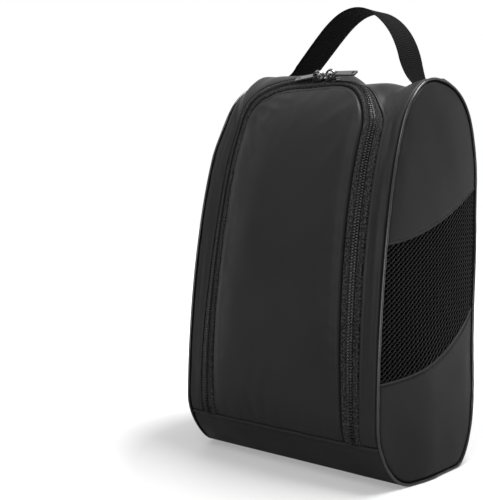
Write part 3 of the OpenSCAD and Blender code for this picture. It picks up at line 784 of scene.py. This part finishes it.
def panel_out(x, s, a, b, creases, seed):
    """A panel's height: tucked into the seams on all four sides, gathered along them, and folded."""
    by_side, by_end = RIM_X - np.abs(x), np.minimum(s - a, b - s)
    d = np.minimum(by_side, by_end)
    gathers = puckers(by_side, s, seed, depth=0.4) + puckers(by_end, x, seed + 1, depth=0.3)
    return tucked(d) + gathers + ease(d / 9) * relief(x, s, creases, seed)


def floor_free(s):
    """0 on the flat underside and 1 where the skin stands upright or leans."""
    return ease((normal(s)[..., 1] + 1) / 0.25)


def put_lining(name, x, s, out, node):
    """A lining close under a panel, which follows the panel's dips but not its folds."""
    low = -PANEL_T - LAYER_GAP + np.minimum(out, 0) - 0.1
    put_layer(name, x, s, low, low - LINING_T, lining_cloth(), "lining", node)


class ShellOperator(bpy.types.Operator):
    """Sews the front border, the back and the base, each with its lining."""

    bl_idname = "shoebag.shell"
    bl_label = "Shell panels"

    def execute(self, context):
        cloth = shell_cloth()
        q, x, s, d, rim = surround_grid()
        out = surround_out(q, x, s, d, rim)
        put_layer("front_border", x, s, out, out - PANEL_T, cloth, "shell", "front_surround")
        q, x, s, d, rim = surround_grid(LINING_INSET, cols=12, gap=6.0)
        put_lining("border_lining", x, s, surround_out(q, x, s, d, rim + LINING_INSET), "surround_lining")

        low, high = TOP_SEAM, BACK_SEAM - SEAM_GAP
        rows_s = np.linspace(low, high, 76)
        x, s = np.meshgrid(np.linspace(-RIM_X, RIM_X, 43), rows_s)
        held = np.minimum.reduce([RIM_X - np.abs(x), s - low, high - s]) < HELD_RIM
        full = filled(x, s, held, seed=1.4, pressure=2.5)
        x, s = panel_grid(RIM_X, low, high, cols=70, rows=92)
        out = panel_out(x, s, low, high, BACK_CREASES, 1.9) + sample(full, rows_s, x, s)
        put_layer("back_cover", x, s, out, out - PANEL_T, cloth, "shell", "back_panel")
        x, s = panel_grid(RIM_X - LINING_INSET, low - LINING_LAP, high, cols=30, rows=40)
        put_lining("back_inner", x, s, panel_out(x, s, low, high, BACK_CREASES, 1.9), "back_lining")

        low, high = BACK_SEAM - LOOP, FRONT_SEAM
        x, s = panel_grid(RIM_X, low, high, cols=70, rows=60)
        ridge = 0.9 * bell(high - s, 1.7, 0.9) - 0.7 * bell(high - s, 4.2, 1.0)
        out = panel_out(x, s, low, high, (), 3.1) * floor_free(s) + ridge
        put_layer("base_cover", x, s, out, out - PANEL_T, cloth, "shell", "base_panel")
        x, s = panel_grid(RIM_X - LINING_INSET, low - LINING_LAP, high, cols=20, rows=30)
        out = -PANEL_T - 2 * LAYER_GAP - BOARD_T + 0.12 * uneven(x, s, 2.2)
        put_layer("base_inner", x, s, out, out - LINING_T, lining_cloth(), "lining", "base_lining")
        dress("base_board", finish("Base board", (0.02, 0.02, 0.02), 0.6, bump=0.00004, uv=False))
        return {"FINISHED"}


# ---- Side panels and nets ----

EDGE = at(np.linspace(0, LOOP, 700, endpoint=False))


def edge_distance(y, z):
    """Distance inward from the side outline: the least distance to its points."""
    p = np.stack([y.ravel(), z.ravel()], -1)
    parts = np.array_split(p, len(p) // 4000 + 1)
    return np.concatenate([np.linalg.norm(q[:, None] - EDGE, axis=2).min(1) for q in parts]).reshape(y.shape)


def point_inside(y, z):
    """Whether a place lies inside the side outline: between its front and back at that height."""
    front, back = (np.interp(z, OUTLINE[part, 1], OUTLINE[part, 0]) for part in (FRONT, BACK))
    return (y > front) & (y < back)


def vent_z(y, edge):
    """Height of a vent's edge: from the front one to the back one, rising as a power of the way across."""
    front, back, bend = edge
    return front + (back - front) * np.clip((y + HALF_D) / (2 * HALF_D), 0, 1) ** bend


def in_vent(y, z, margin=0.0):
    """Whether a place lies in the vent, or within a margin of its edges, and inside the outline."""
    return (z < vent_z(y, VENT_TOP) + margin) & (z > vent_z(y, VENT_FOOT) - margin) & point_inside(y, z)


def side_out(side, y, z):
    """How far a side bows out: a crown that rises from the piping, seam gathers and soft folds."""
    d = np.maximum(edge_distance(y, z) - SIDE_TUCK, 0)
    turn = np.arctan2(z - 175, y) * 120
    depth = bpy.context.scene.shoe_bag_sizes.fold_depth
    soft = sum(crease(y, z + FRONT_SEAM, *c) for c in SIDE_FOLDS) + 0.5 * uneven(y, z, 1.1 * side)
    crown = size("side_crown") * (1 - np.exp(-d / 26))
    by_seam = tucked(d, tuck=3.0, reach=2.6) + puckers(d, turn, side * 0.9, depth=0.28)
    return crown + by_seam + depth * ease(d / 14) * soft


def side_point(side, y, z, out):
    """Point of a side at a place in its plane and a height off it."""
    return np.stack([side * (HALF_W + out), y, z], -1)


def side_grid(edge, upper, cols=110, rows=64):
    """Lines from places along the vent's edge to matching places along the tucked side outline."""
    s = np.linspace(FRONT_SEAM - 60, BACK_SEAM + 60, 4000)
    p = at(s) - normal(s) * SIDE_TUCK
    front, back = s[np.flatnonzero(p[:, 1] > vent_z(p[:, 0], edge))[[0, -1]]]
    u = (1 - np.cos(np.pi * np.linspace(0, 1, cols))) / 4 + 0.5 * np.linspace(0, 1, cols)
    s = front + (back - front) * u if upper else front - (front + LOOP - back) * u
    far = at(s) - normal(s) * SIDE_TUCK
    y = far[0, 0] + (far[-1, 0] - far[0, 0]) * u
    near = np.stack([y, vent_z(y, edge)], -1)
    near[0], near[-1] = far[0], far[-1]
    longest = np.linalg.norm(far - near, axis=1).max()
    v = spread(longest, rows)[0] / longest
    p = near[:, None] + (far - near)[:, None] * v[None, :, None]
    return p[..., 0], p[..., 1], np.linalg.norm(p - near[:, None], axis=2)


def side_panel(side, edge, upper):
    """A side panel: its vent edge is a narrow turned hem that stands up from the net."""
    y, z, d = side_grid(edge, upper)
    hem = 0.5 * bell(d, 1.1, 0.9) - 0.45 * bell(d, 2.7, 0.7) + tucked(d, tuck=0.7, reach=0.9)
    out = side_out(side, y, z) + hem
    return sheet_part(side_point(side, y, z, out), side_point(side, y, z, out - SIDE_T), np.stack([y, z], -1))


def net_lean(y):
    """Height gained by the net's threads from the front: their slope grows from front to back."""
    t = (y + HALF_D) / (2 * HALF_D)
    return 2 * HALF_D * (0.62 * t + 0.16 * t**3)


def net_family(side, rise, radius, direction, sink):
    """One family of net threads, evenly spaced in height, as four-sided tubes cut at the vent's edges."""
    y = np.arange(-HALF_D + 1, HALF_D - 1, 1.15)
    turns = 2 * np.pi * net_lean(y) / rise
    lean = net_lean(y) * direction
    z = np.arange(50.0 - max(lean.max(), 0), 290.0 - min(lean.min(), 0), rise)[:, None] + lean[None]
    y = np.broadcast_to(y, z.shape)
    inside = in_vent(y, z, 1.2) & (edge_distance(y, z) > 1.0)
    centre = side_point(side, y, z, side_out(side, y, z) - sink + 0.22 * np.sin(turns) * direction)
    up = np.array([side, 0, 0.0])
    across = unit(np.cross(unit(np.gradient(centre, axis=1)), up))[:, :, None]
    a = (np.pi / 4 + np.pi / 2 * np.arange(4))[:, None]
    bead = 1.2 * radius * (1 + 0.16 * np.sin(turns))[:, None, None]
    ring = centre[:, :, None] + bead * (across * np.cos(a) * 1.15 + up * np.sin(a) * 0.85)
    n, m = z.shape
    ids = (np.arange(n)[:, None, None] * m + np.arange(m)[None, :, None]) * 4 + np.arange(4)
    here, there = ids[:, :-1], ids[:, 1:]
    both = inside[:, :-1] & inside[:, 1:]
    before, after = np.pad(both, ((0, 0), (1, 0))), np.pad(both, ((0, 0), (0, 1)))
    walls = np.stack([here, there, np.roll(there, -1, 2), np.roll(here, -1, 2)], -1)[both].reshape(-1, 4)
    quads = np.concatenate([walls, ids[after & ~before], ids[before & ~after][:, ::-1]])
    used, quads = np.unique(quads, return_inverse=True)
    verts = ring.reshape(-1, 3)[used]
    return outward(verts, quads.reshape(-1, 4), verts[:, 1:])


class SidesOperator(bpy.types.Operator):
    """Makes the upper and lower side panels with their hems."""

    bl_idname = "shoebag.sides"
    bl_label = "Side panels"

    def execute(self, context):
        for side, word in SIDES:
            for part, node, edge in (("top", "upper", VENT_TOP), ("foot", "lower", VENT_FOOT)):
                put(f"side_{part}_{word}", [side_panel(side, edge, part == "top")], shell_cloth(), "shell",
                    f"side_{node}_{word}", weld=True)
        return {"FINISHED"}


class NetsOperator(bpy.types.Operator):
    """Knits the two net vents from crossing threads and stretches them in their openings."""

    bl_idname = "shoebag.nets"
    bl_label = "Net vents"

    def execute(self, context):
        yarn = finish("Net yarn", (0.0030, 0.0030, 0.0031), 0.42, specular=0.12, lighter=1.8, bump=0.00002,
                      uv=False, dust=0.02)
        rise, radius = size("net_rise"), size("net_thread") / 2
        for side, word in SIDES:
            threads = [net_family(side, rise, radius, direction=1, sink=0.9),
                       net_family(side, rise, radius * 0.68, direction=-1, sink=1.7)]
            net = put(f"net_{word}", threads, yarn, "net", f"net_vent_{word}", flat_angle=80)
        return {"FINISHED"}


# ---- Piping and seam bindings ----

# Sections inside each side seam: place across and depth below the outline
FLANGE_X = np.array([0.3, 0.3, -1.5, -4.0, -4.0, -1.5])
FLANGE_DEPTH = np.array([2.4, 1.3, 1.9, 2.9, 3.6, 2.9])
BINDING_X = np.array([-1.8, -1.4, 0, 1.4, 1.8, 1.8, 1.4, 0, -1.4, -1.8])
BINDING_DEPTH = np.array([3.6, 3.1, 3.0, 3.1, 3.6, 5.8, 6.3, 6.4, 6.3, 5.8]) + 0.3


def along_seam(s, x, depth):
    """A closed section carried round a side seam, at places across and depths below the outline."""
    p = at(s)[:, None] - normal(s)[:, None] * np.broadcast_to(depth, (len(s), len(x)))[..., None]
    return strip(np.stack([np.broadcast_to(x, p.shape[:2]), p[..., 0], p[..., 1]], -1), None, True)


class PipingOperator(bpy.types.Operator):
    """Runs the covered cord round both side seams, and the binding tape inside them."""

    bl_idname = "shoebag.piping"
    bl_label = "Piping and bindings"

    def execute(self, context):
        gloss = finish("Piping", (0.0022, 0.0022, 0.0023), 0.16, 0.03, specular=0.5, bump=0.00001,
                       weave=("weave", 0.0006), weave_depth=0.00001)
        r, faces = size("piping_r"), context.scene.shoe_bag_sizes.piping_sides
        s = np.linspace(0, LOOP, 560, endpoint=False)
        fat = r * (1 + 0.07 * np.sin(s / 2.9 + 1.6 * np.sin(s / 17)))
        c = at(s) - normal(s) * (fat - 0.55 * floor_free(s))[:, None]
        wave = 1 + 0.03 * np.sin(s / 6.1)[:, None]
        for side, word in SIDES:
            centre = np.stack([side * (HALF_W - 0.1) + 0.25 * np.sin(s / 37 + side), c[:, 0], c[:, 1]], -1)
            cord = tube(centre, np.broadcast_to([1.0, 0, 0], centre.shape), fat, faces, True)
            put(f"piping_cord_{word}", [strip(cord, None, True)], gloss, "piping", f"piping_{word}")
            x = side * (RIM_X - LINING_INSET + LAYER_GAP + 1.8)
            seams = [along_seam(s, x + BINDING_X, BINDING_DEPTH * wave),
                     along_seam(s, side * (HALF_W + FLANGE_X), FLANGE_DEPTH)]
            put(f"seam_tape_{word}", seams, lining_cloth(), "binding", f"seam_binding_{word}")
        return {"FINISHED"}


# ---- Zip ----

COIL_MID, COIL_RISE, COIL_R = 0.8, 0.72, 0.42
STITCHES_BY_COIL = (4.3, -0.36)


def zip_at(side, l):
    """Place and outward direction on the zip at a length from the foot of one side."""
    a = np.clip((l - UPRIGHT_L) / CORNER_L, 0, 1) * math.pi / 2
    x = ARC_X + ZIP_CORNER_R * np.cos(a) - np.maximum(l - UPRIGHT_L - CORNER_L, 0)
    s = np.minimum(FOOT + l, ARC_S) + ZIP_CORNER_R * np.sin(a)
    return np.stack([side * x, s, side * np.cos(a), np.sin(a)], -1)


def whole_zip(l):
    """Place and outward direction at a length along the whole zip, from its left foot to its right one."""
    return np.where((l < ZIP_HALF_L)[:, None], zip_at(LEFT, l), zip_at(RIGHT, 2 * ZIP_HALF_L - l))


def beside(q, k):
    """Place at a distance outward from the zip's middle line."""
    return q[..., 0] + k * q[..., 2], q[..., 1] + k * q[..., 3]


# Marks across a tape, as shares of its width: even, then close at the hem that laps over it
TAPE_MARKS = np.array([0, 0.12, 0.24, 0.3, 0.36, 0.42, 0.5, 0.58, 0.66, 0.74, 0.8, 0.85, 0.89, 0.93, 0.96,
                       1.0])


def tape(row):
    """Half of the zip's tape: a groove by the coil, a ridge on the door's half, and a dip at the hem."""
    meet = ZIP_HALF_L + SLIDER_MEET_X
    near = meet + np.linspace(-PARTING_HALF_L - 2, PARTING_HALF_L + 2, 25)
    l = np.unique(np.round(np.r_[np.linspace(0, 2 * ZIP_HALF_L, int(ZIP_HALF_L)), near], 3))
    inner = 0.3 + 2.0 * ease(PARTING_HALF_L + 1 - np.abs(l - meet))
    total = TAPE_OUT if row > 0 else TAPE_IN
    k = inner[:, None] + (total + 0.8 - inner)[:, None] * TAPE_MARKS
    ridge = 0.0 if row > 0 else 0.9 * np.exp(-(((k - 7.2) / 0.9) ** 4))
    out = -0.42 + 0.06 * np.sin(l / 3.1)[:, None] * TAPE_MARKS + ridge - 0.5 * bell(k, 3.6, 0.5)
    out -= 2.4 * ease(k - total + 1.2) + 0.5 * ease((k - total) / 0.7)
    x, s = beside(whole_zip(l)[:, None], row * k)
    uv = np.stack(np.broadcast_arrays(k, l[:, None]), -1)
    return sheet_part(skin(x, s, out), skin(x, s, out - TAPE_T), uv)


def coil(row, side):
    """One run of coil: a flattened helix whose outer bends lie on the tape and inner bends mesh."""
    pitch = size("coil_pitch")
    turns = int((ZIP_HALF_L - side * SLIDER_MEET_X - PARTING_HALF_L) / pitch)
    phase = np.arange(turns * 8) / 8.0
    l, a = pitch * (phase + (0.5 if row < 0 else 0)), 2 * np.pi * phase
    k, h = row * (1.2 + 1.5 * np.cos(a)), COIL_MID + COIL_RISE * np.sin(a)
    centre = skin(*beside(zip_at(side, l + 0.12 * pitch * np.sin(a)), k), h)
    ahead = skin(*beside(zip_at(side, l + 1), k), h) - skin(*beside(zip_at(side, l - 1), k), h)
    return strip(tube(centre, ahead, COIL_R, 4))


def zip_stitches(row, k, out, gap=False):
    """Lines of stitches beside the zip, with a gap at the sliders where they are close to the coil."""
    l = np.linspace(1, 2 * ZIP_HALF_L - 1, 1200)
    keep = (np.abs(l - ZIP_HALF_L - SLIDER_MEET_X) > PARTING_HALF_L + 6) | (not gap)
    x, s = beside(whole_zip(l), row * k)
    pts = skin(x, s, out)
    up = pts - skin(x, s, out - 1)
    ends = np.flatnonzero(np.diff(np.r_[0, keep.astype(int), 0]))
    return [stitch_line(pts[a:b], up[a:b]) for a, b in zip(ends[::2], ends[1::2])]


class ZipOperator(bpy.types.Operator):
    """Makes the woven zip tapes, the two rows of coil and their stitches; the sliders keep their shape."""

    bl_idname = "shoebag.zip"
    bl_label = "Zip"

    def execute(self, context):
        look = context.scene.shoe_bag_look
        woven = finish("Zip tape", look.tape, 0.7, lighter=7.5, weave=("twill", 0.0013), weave_depth=0.00009,
                       heather=2.2, bump=0.00003, specular=0.07, dust=0.0)
        nylon = finish("Zip coil", (0.0012, 0.0012, 0.0013), 0.16, 0.03, specular=0.36, bump=0.00022,
                       uv=False, dust=0.0)
        halves = ((1, "bag"), (-1, "door"))
        for row, body in halves:
            put(f"tape_{body}", [tape(row)], woven, "zip_tape", f"zip_tape_{body}", body=body)
            put(f"coil_{body}", [coil(row, LEFT), coil(row, RIGHT)], nylon, "zip_coil", f"zip_teeth_{body}",
                body=body, flat_angle=80)
        for row, body in halves:
            rows = zip_stitches(row, *STITCHES_BY_COIL, gap=True)
            put_stitches(f"zip_stitches_{body}", rows, "zip_tape", body)
        metal = finish("Dark plated metal", look.metal, 0.24, 0.08, lighter=1.6, specular=0.5, coat=0.3,
                       metallic=1.0, bump=0.00002, uv=False, dust=0.02)
        for name in ("slider_left", "slider_right", "pull_left", "pull_right"):
            dress(name, metal)
        return {"FINISHED"}


# ---- Door ----


def door_grid(cols, gap):
    """Rows from the foot to the top, each across the door at its width there, narrowing round the corners."""
    low = FOOT + HEM
    up = np.r_[low, np.linspace(low[-1], ARC_S, int((ARC_S - low[-1]) / gap))[1:]]
    turn = np.linspace(0, np.pi / 2, int(DOOR_R * 1.57 / gap))[1:]
    s = np.r_[up, ARC_S + DOOR_R * np.sin(turn)]
    half = np.r_[ARC_X + DOOR_R + 0 * up, ARC_X + DOOR_R * np.cos(turn)]
    d = spread(2 * half, cols)
    return d - half[:, None], np.broadcast_to(s[:, None], d.shape)


def door_edge(x, s):
    """Distance inward from the door's edge: its side, its top or the round corner between them."""
    return -TAPE_IN - SEAM_GAP - from_zip(x, s)


def door_out(x, s):
    """The padded door: a rolled edge, a faint ditch where the foam is stitched in, and a crown."""
    d, foot = np.maximum(door_edge(x, s), 0), s - FOOT
    roll = tucked(d, tuck=3.0, reach=3.0) - 0.1 - 0.25 * bell(d, 4.2, 0.8) + tucked(foot, tuck=1.2, reach=2.4)
    crown = (size("door_crown") + 0.5) * (1 - np.exp(-d / 6.0)) * (1 - 0.75 * np.exp(-foot / 9))
    gathers = puckers(d, np.arctan2(s - 260, x) * 110, seed=0.4, depth=0.3)
    gathers += puckers(foot, x, seed=0.8, depth=0.25)
    return roll + crown + gathers + ease(d / 10) * ease(foot / 14) * relief(x, s, DOOR_FOLDS, 2.6)


class DoorOperator(bpy.types.Operator):
    """Pads the door: a crowned cover over foam, with a turned edge, a stitched ditch and a lining."""

    bl_idname = "shoebag.door"
    bl_label = "Padded door"

    def execute(self, context):
        turn = np.linspace(0, np.pi / 2, 19)[1:]
        rows_s = np.r_[np.linspace(FOOT, ARC_S, 60), ARC_S + DOOR_R * np.sin(turn)]
        half = ARC_X + np.sqrt(DOOR_R**2 - np.maximum(rows_s - ARC_S, 0) ** 2)
        x = half[:, None] * np.linspace(-1, 1, 37)
        s = rows_s[:, None] + 0 * x
        held = (door_edge(x, s) < 1.5) | (s < FOOT + 1)
        full = filled(x, s, held, seed=0.8, pressure=3.0)
        x, s = door_grid(cols=52, gap=2.6)
        depth = DOOR_CLOTH_T + LAYER_GAP + FOAM_T
        pad = put_layer("door_pad", x, s, door_out(x, s) + sample(full, rows_s, x, s), -depth, shell_cloth(),
                        "shell", "door_panel", "door_padding", body="door")
        x, s = door_grid(cols=24, gap=6.0)
        low = -depth - LAYER_GAP - 0.1 + 0.15 * uneven(x, s, 0.3)
        put_layer("door_inner", x, s, low, low - LINING_T, lining_cloth(), "lining", "door_lining",
                  body="door")
        return {"FINISHED"}


# ---- Handle ----

STRAP_HALF_X, STRAP_Y, STRAP_T, STRAP_LEAN = 63.0, (STRAP_FRONT + STRAP_BACK) / 2, 1.8, 9.5
STRAP_W, ARCH_H = STRAP_BACK - STRAP_FRONT, APEX_Z - BEND_Z


def arch(t, off, out):
    """The handle's arch: a parabola that leans as 1 - t to the fourth, raised by out along its normal."""
    n = unit(np.stack([2 * ARCH_H * t, STRAP_HALF_X - 4 * STRAP_LEAN * t**3], -1))
    x = STRAP_HALF_X * t + STRAP_LEAN * (1 - t**4)
    return np.stack([x + n[..., 0] * out, STRAP_Y + off, APEX_Z - ARCH_H * t * t + n[..., 1] * out], -1)


def strap_end(side, u, off, out):
    """One end: leaves the arch in its direction, and comes down on the skin as the cube of the way left."""
    leg = arch(side * np.ones_like(u), off, out)
    s, lift = STRAP_S + off, 0.8 + STRAP_T / 2 + out
    away = leg - skin(leg[..., 0], s, lift)
    slope = (STRAP_HALF_X - 4 * side * STRAP_LEAN) / (2 * ARCH_H)
    left = RIM_X - side * leg[..., 0]
    lead = 3 * away[..., 2] * slope / left
    x = leg[..., 0] + side * left * (lead * u + (1 - lead) * u * u)
    return skin(x, s, lift) + away * ((1 - u) ** 3)[..., None]


def strap_point(g, off, out):
    """The whole strap, from its left end at -2 over the arch to its right end at 2."""
    over = arch(np.clip(g, -1, 1), off, out)
    end = strap_end(np.where(g < 0, LEFT, RIGHT), np.clip(np.abs(g) - 1, 0, 1), off, out)
    return np.where((np.abs(g) > 1)[..., None], end, over)


class HandleOperator(bpy.types.Operator):
    """Weaves the handle: one length of ribbed webbing from side seam to side seam over its arch."""

    bl_idname = "shoebag.handle"
    bl_label = "Handle"

    def execute(self, context):
        pitch = size("rib_pitch")
        g = np.linspace(-2, 2, 1601)
        far = lengths(strap_point(g, 0 * g, 0 * g))
        even = np.linspace(0, far[-1], 8 * int(300 / pitch))
        w = np.linspace(-1, 1, 20)
        w = (0.75 * w + 0.25 * np.sin(np.pi / 2 * w)) * STRAP_W / 2
        gg, off = np.meshgrid(np.interp(even, far, g), w, indexing="ij")
        l = np.broadcast_to(even[:, None], gg.shape)
        rib = 0.26 * np.abs(np.sin(np.pi * (l / pitch + 0.12 * np.sin(off / 3.1))))
        edge = 1 - 0.65 * np.clip((np.abs(off) - STRAP_W / 2 + 1.2) / 1.2, 0, 1) ** 2
        sway = 0.5 * np.sin(l / 31 + off / 14) * ease((2 - np.abs(gg)) / 0.6)
        half = (STRAP_T / 2 + rib - 0.05) * edge
        ribbon = sheet_part(strap_point(gg, off, half + sway), strap_point(gg, off, -half + sway),
                            np.stack([off, l], -1))
        # The webbing's ribs carry strong painted shade in their valleys and a painted lighter tone on their
        # tops
        webbing = finish("Handle webbing", context.scene.shoe_bag_look.webbing, 0.8, lighter=2.6,
                         weave=("rib", pitch * MM), weave_depth=0.0003, thread_shade=0.9, bump=0.00002,
                         specular=0.06, dust=0.0)
        strap = put("handle_webbing", [ribbon], webbing, "webbing", "handle_strap", "handle_end_left",
                    "handle_end_right", body=None)
        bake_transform(strap)
        return {"FINISHED"}


# ---- Stitching ----


def vent_stitches(side, edge, shift):
    """A row of stitches beside a vent's edge."""
    y = np.linspace(-HALF_D, HALF_D, 400)
    z = vent_z(y, edge) + shift
    keep = point_inside(y, z) & (edge_distance(y, z) > SIDE_TUCK + 2.5)
    y, z = y[keep], z[keep]
    pts = side_point(side, y, z, side_out(side, y, z) - 0.2)
    return stitch_line(pts, np.broadcast_to([float(side), 0, 0], pts.shape))


def handle_stitches(side, g):
    """A row of stitches across the strap, at one place along it."""
    off = np.linspace(-STRAP_W / 2 + 2.5, STRAP_W / 2 - 2.5, 60)
    gg = side * g + 0 * off
    pts = strap_point(gg, off, STRAP_T / 2 + 0.05 + 0 * off)
    return stitch_line(pts, pts - strap_point(gg, off, -1 + 0 * off), 0.4, 0.3)


class StitchesOperator(bpy.types.Operator):
    """Sews the visible rows of stitches: beside the zip, along the vents and at the handle's ends."""

    bl_idname = "shoebag.stitches"
    bl_label = "Stitching"

    def execute(self, context):
        put_stitches("border_stitches", zip_stitches(1, TAPE_OUT + SEAM_GAP + 2.9, -0.1), "shell")
        put_stitches("door_stitches", zip_stitches(-1, TAPE_IN + SEAM_GAP + 4.2, 0.15), "shell", "door")
        put_stitches("vent_stitches", [vent_stitches(side, edge, shift) for side, _ in SIDES
                                       for edge, shift in ((VENT_TOP, 2.8), (VENT_FOOT, -2.8))], "shell")
        put_stitches("handle_stitches", [handle_stitches(side, g) for side, _ in SIDES for g in (1.93, 1.87)],
                     "webbing")
        return {"FINISHED"}


# ---- Stage ----

# Each lamp's place, width, height and power
LAMPS = {
    "key": ((0.32, -1.18, 1.65), 1.2, 0.9, 15),
    "top": ((0.6, 0.3, 2.05), 1.0, 0.9, 64),
    "front": ((0.75, -2.1, 0.35), 1.2, 1.0, 21),
    "right": ((2.15, 0.38, 0.5), 0.9, 1.2, 0.3),
    "left": ((-0.9, 0.0, 1.95), 1.0, 1.0, 3.0),
}
LAMP_AIM = Vector((0, 0, 0.2))
# The lens and the sensor's width in millimetres, and how far the view is shifted, as shares of its width
SENSOR_W, LENS = 36, 65.84348
SHIFT_ACROSS, SHIFT_UP = -0.186335, -0.184472
CAMERA_TURN, CAMERA_TILT, CAMERA_AWAY, CAMERA_Z = math.radians(38.37), math.radians(92), 0.8392, 0.2429
FLOOR_HALF = 4.0


def seen_white(tree, camera_white, reflected_white):
    """White by one level for the camera and by another in reflections and glass; it lights nothing."""
    path = tree.nodes.new("ShaderNodeLightPath").outputs
    other = plus(tree, path["Is Glossy Ray"], path["Is Transmission Ray"], True)
    return plus(tree, times(tree, path["Is Camera Ray"], camera_white), times(tree, other, reflected_white))


class StageOperator(bpy.types.Operator):
    """Lays the pale floor, with a painted shadow in its glow near the bag, lights it softly and sets up the
    camera.
    """

    bl_idname = "shoebag.stage"
    bl_label = "Stage"

    def execute(self, context):
        scene = context.scene
        scene.view_settings.view_transform = "Standard"
        world = bpy.data.worlds.new("Studio")
        world.use_nodes = True
        scene.world = world
        tree = world.node_tree
        sky = set_inputs(tree.nodes["Background"], Color=(1, 1, 1, 1))
        tree.links.new(plus(tree, seen_white(tree, 0.75, 0.75), 0.25), sky.inputs["Strength"])
        world.cycles.sampling_method = "NONE"

        mesh = bpy.data.meshes.new("floor")
        corners = [(x * FLOOR_HALF, y * FLOOR_HALF, 0) for x, y in ((-1, -1), (1, -1), (1, 1), (-1, 1))]
        mesh.from_pydata(corners, [], [(0, 1, 2, 3)])
        add_object("floor", mesh)
        mat, tree, shader = new_material("Pale floor")
        set_inputs(shader, Base_Color=(0.42, 0.42, 0.42, 1), Roughness=0.6, Specular_IOR_Level=0.2,
                   Emission_Color=(1, 1, 1, 1))
        far = tree.nodes.new("ShaderNodeVectorMath")
        far.operation = "LENGTH"
        tree.links.new(tree.nodes.new("ShaderNodeTexCoord").outputs["Object"], far.inputs[0])
        # Painted shadow: the floor's glow for the camera falls to 0.3 near the bag and in reflections to
        # 0.04, so the floor round the bag looks shaded
        camera_white = ramp(tree, far.outputs["Value"], 0.18, 0.33, 0.3, 1.0)
        reflected_white = ramp(tree, far.outputs["Value"], 0.2, 1.2, 0.04, 1.0)
        tree.links.new(seen_white(tree, camera_white, reflected_white), shader.inputs["Emission Strength"])
        mat.cycles.emission_sampling = "NONE"
        mesh.materials.append(mat)

        for name, (place, width, height, power) in LAMPS.items():
            data = bpy.data.lights.new(name, "AREA")
            data.shape, data.size, data.size_y, data.energy = "RECTANGLE", width, height, power
            obj = add_object(name, data)
            obj.location = place
            obj.rotation_euler = (LAMP_AIM - Vector(place)).to_track_quat("-Z", "Y").to_euler()

        data = bpy.data.cameras.new("camera")
        data.sensor_fit, data.sensor_width = "HORIZONTAL", SENSOR_W
        data.lens, data.shift_x, data.shift_y = LENS, SHIFT_ACROSS, SHIFT_UP
        camera = add_object("camera", data)
        across, back = math.sin(CAMERA_TURN), math.cos(CAMERA_TURN)
        camera.location = (CAMERA_AWAY * across, -CAMERA_AWAY * back, CAMERA_Z)
        camera.rotation_euler = (CAMERA_TILT, 0, CAMERA_TURN)
        scene.camera = camera
        return {"FINISHED"}


# ---- Panel and start ----

STEPS = ("stage", "shell", "sides", "nets", "piping", "zip", "door", "handle", "stitches")


class BagPanel(bpy.types.Panel):
    """Lists the bag's settings and the steps that make it."""

    bl_idname = "SHOEBAG_PT_panel"
    bl_label = "Shoe bag"
    bl_space_type = "VIEW_3D"
    bl_region_type = "UI"
    bl_category = "Shoe bag"

    def draw(self, context):
        layout = self.layout
        for settings in (context.scene.shoe_bag_sizes, context.scene.shoe_bag_look):
            for key in settings.__annotations__:
                layout.prop(settings, key)
        for name in STEPS:
            layout.operator("shoebag." + name)


CLASSES = (BagSizes, BagLook, StageOperator, ShellOperator, SidesOperator, NetsOperator, PipingOperator,
           ZipOperator, DoorOperator, HandleOperator, StitchesOperator, BagPanel)


def register():
    for cls in CLASSES:
        bpy.utils.register_class(cls)
    bpy.types.Scene.shoe_bag_sizes = PointerProperty(type=BagSizes)
    bpy.types.Scene.shoe_bag_look = PointerProperty(type=BagLook)


def unregister():
    del bpy.types.Scene.shoe_bag_look
    del bpy.types.Scene.shoe_bag_sizes
    for cls in reversed(CLASSES):
        bpy.utils.unregister_class(cls)


def main():
    register()
    for name in STEPS:
        if getattr(bpy.ops.shoebag, name)() != {"FINISHED"}:
            raise RuntimeError(f"the step {name} did not finish")


if __name__ == "__main__":
    main()
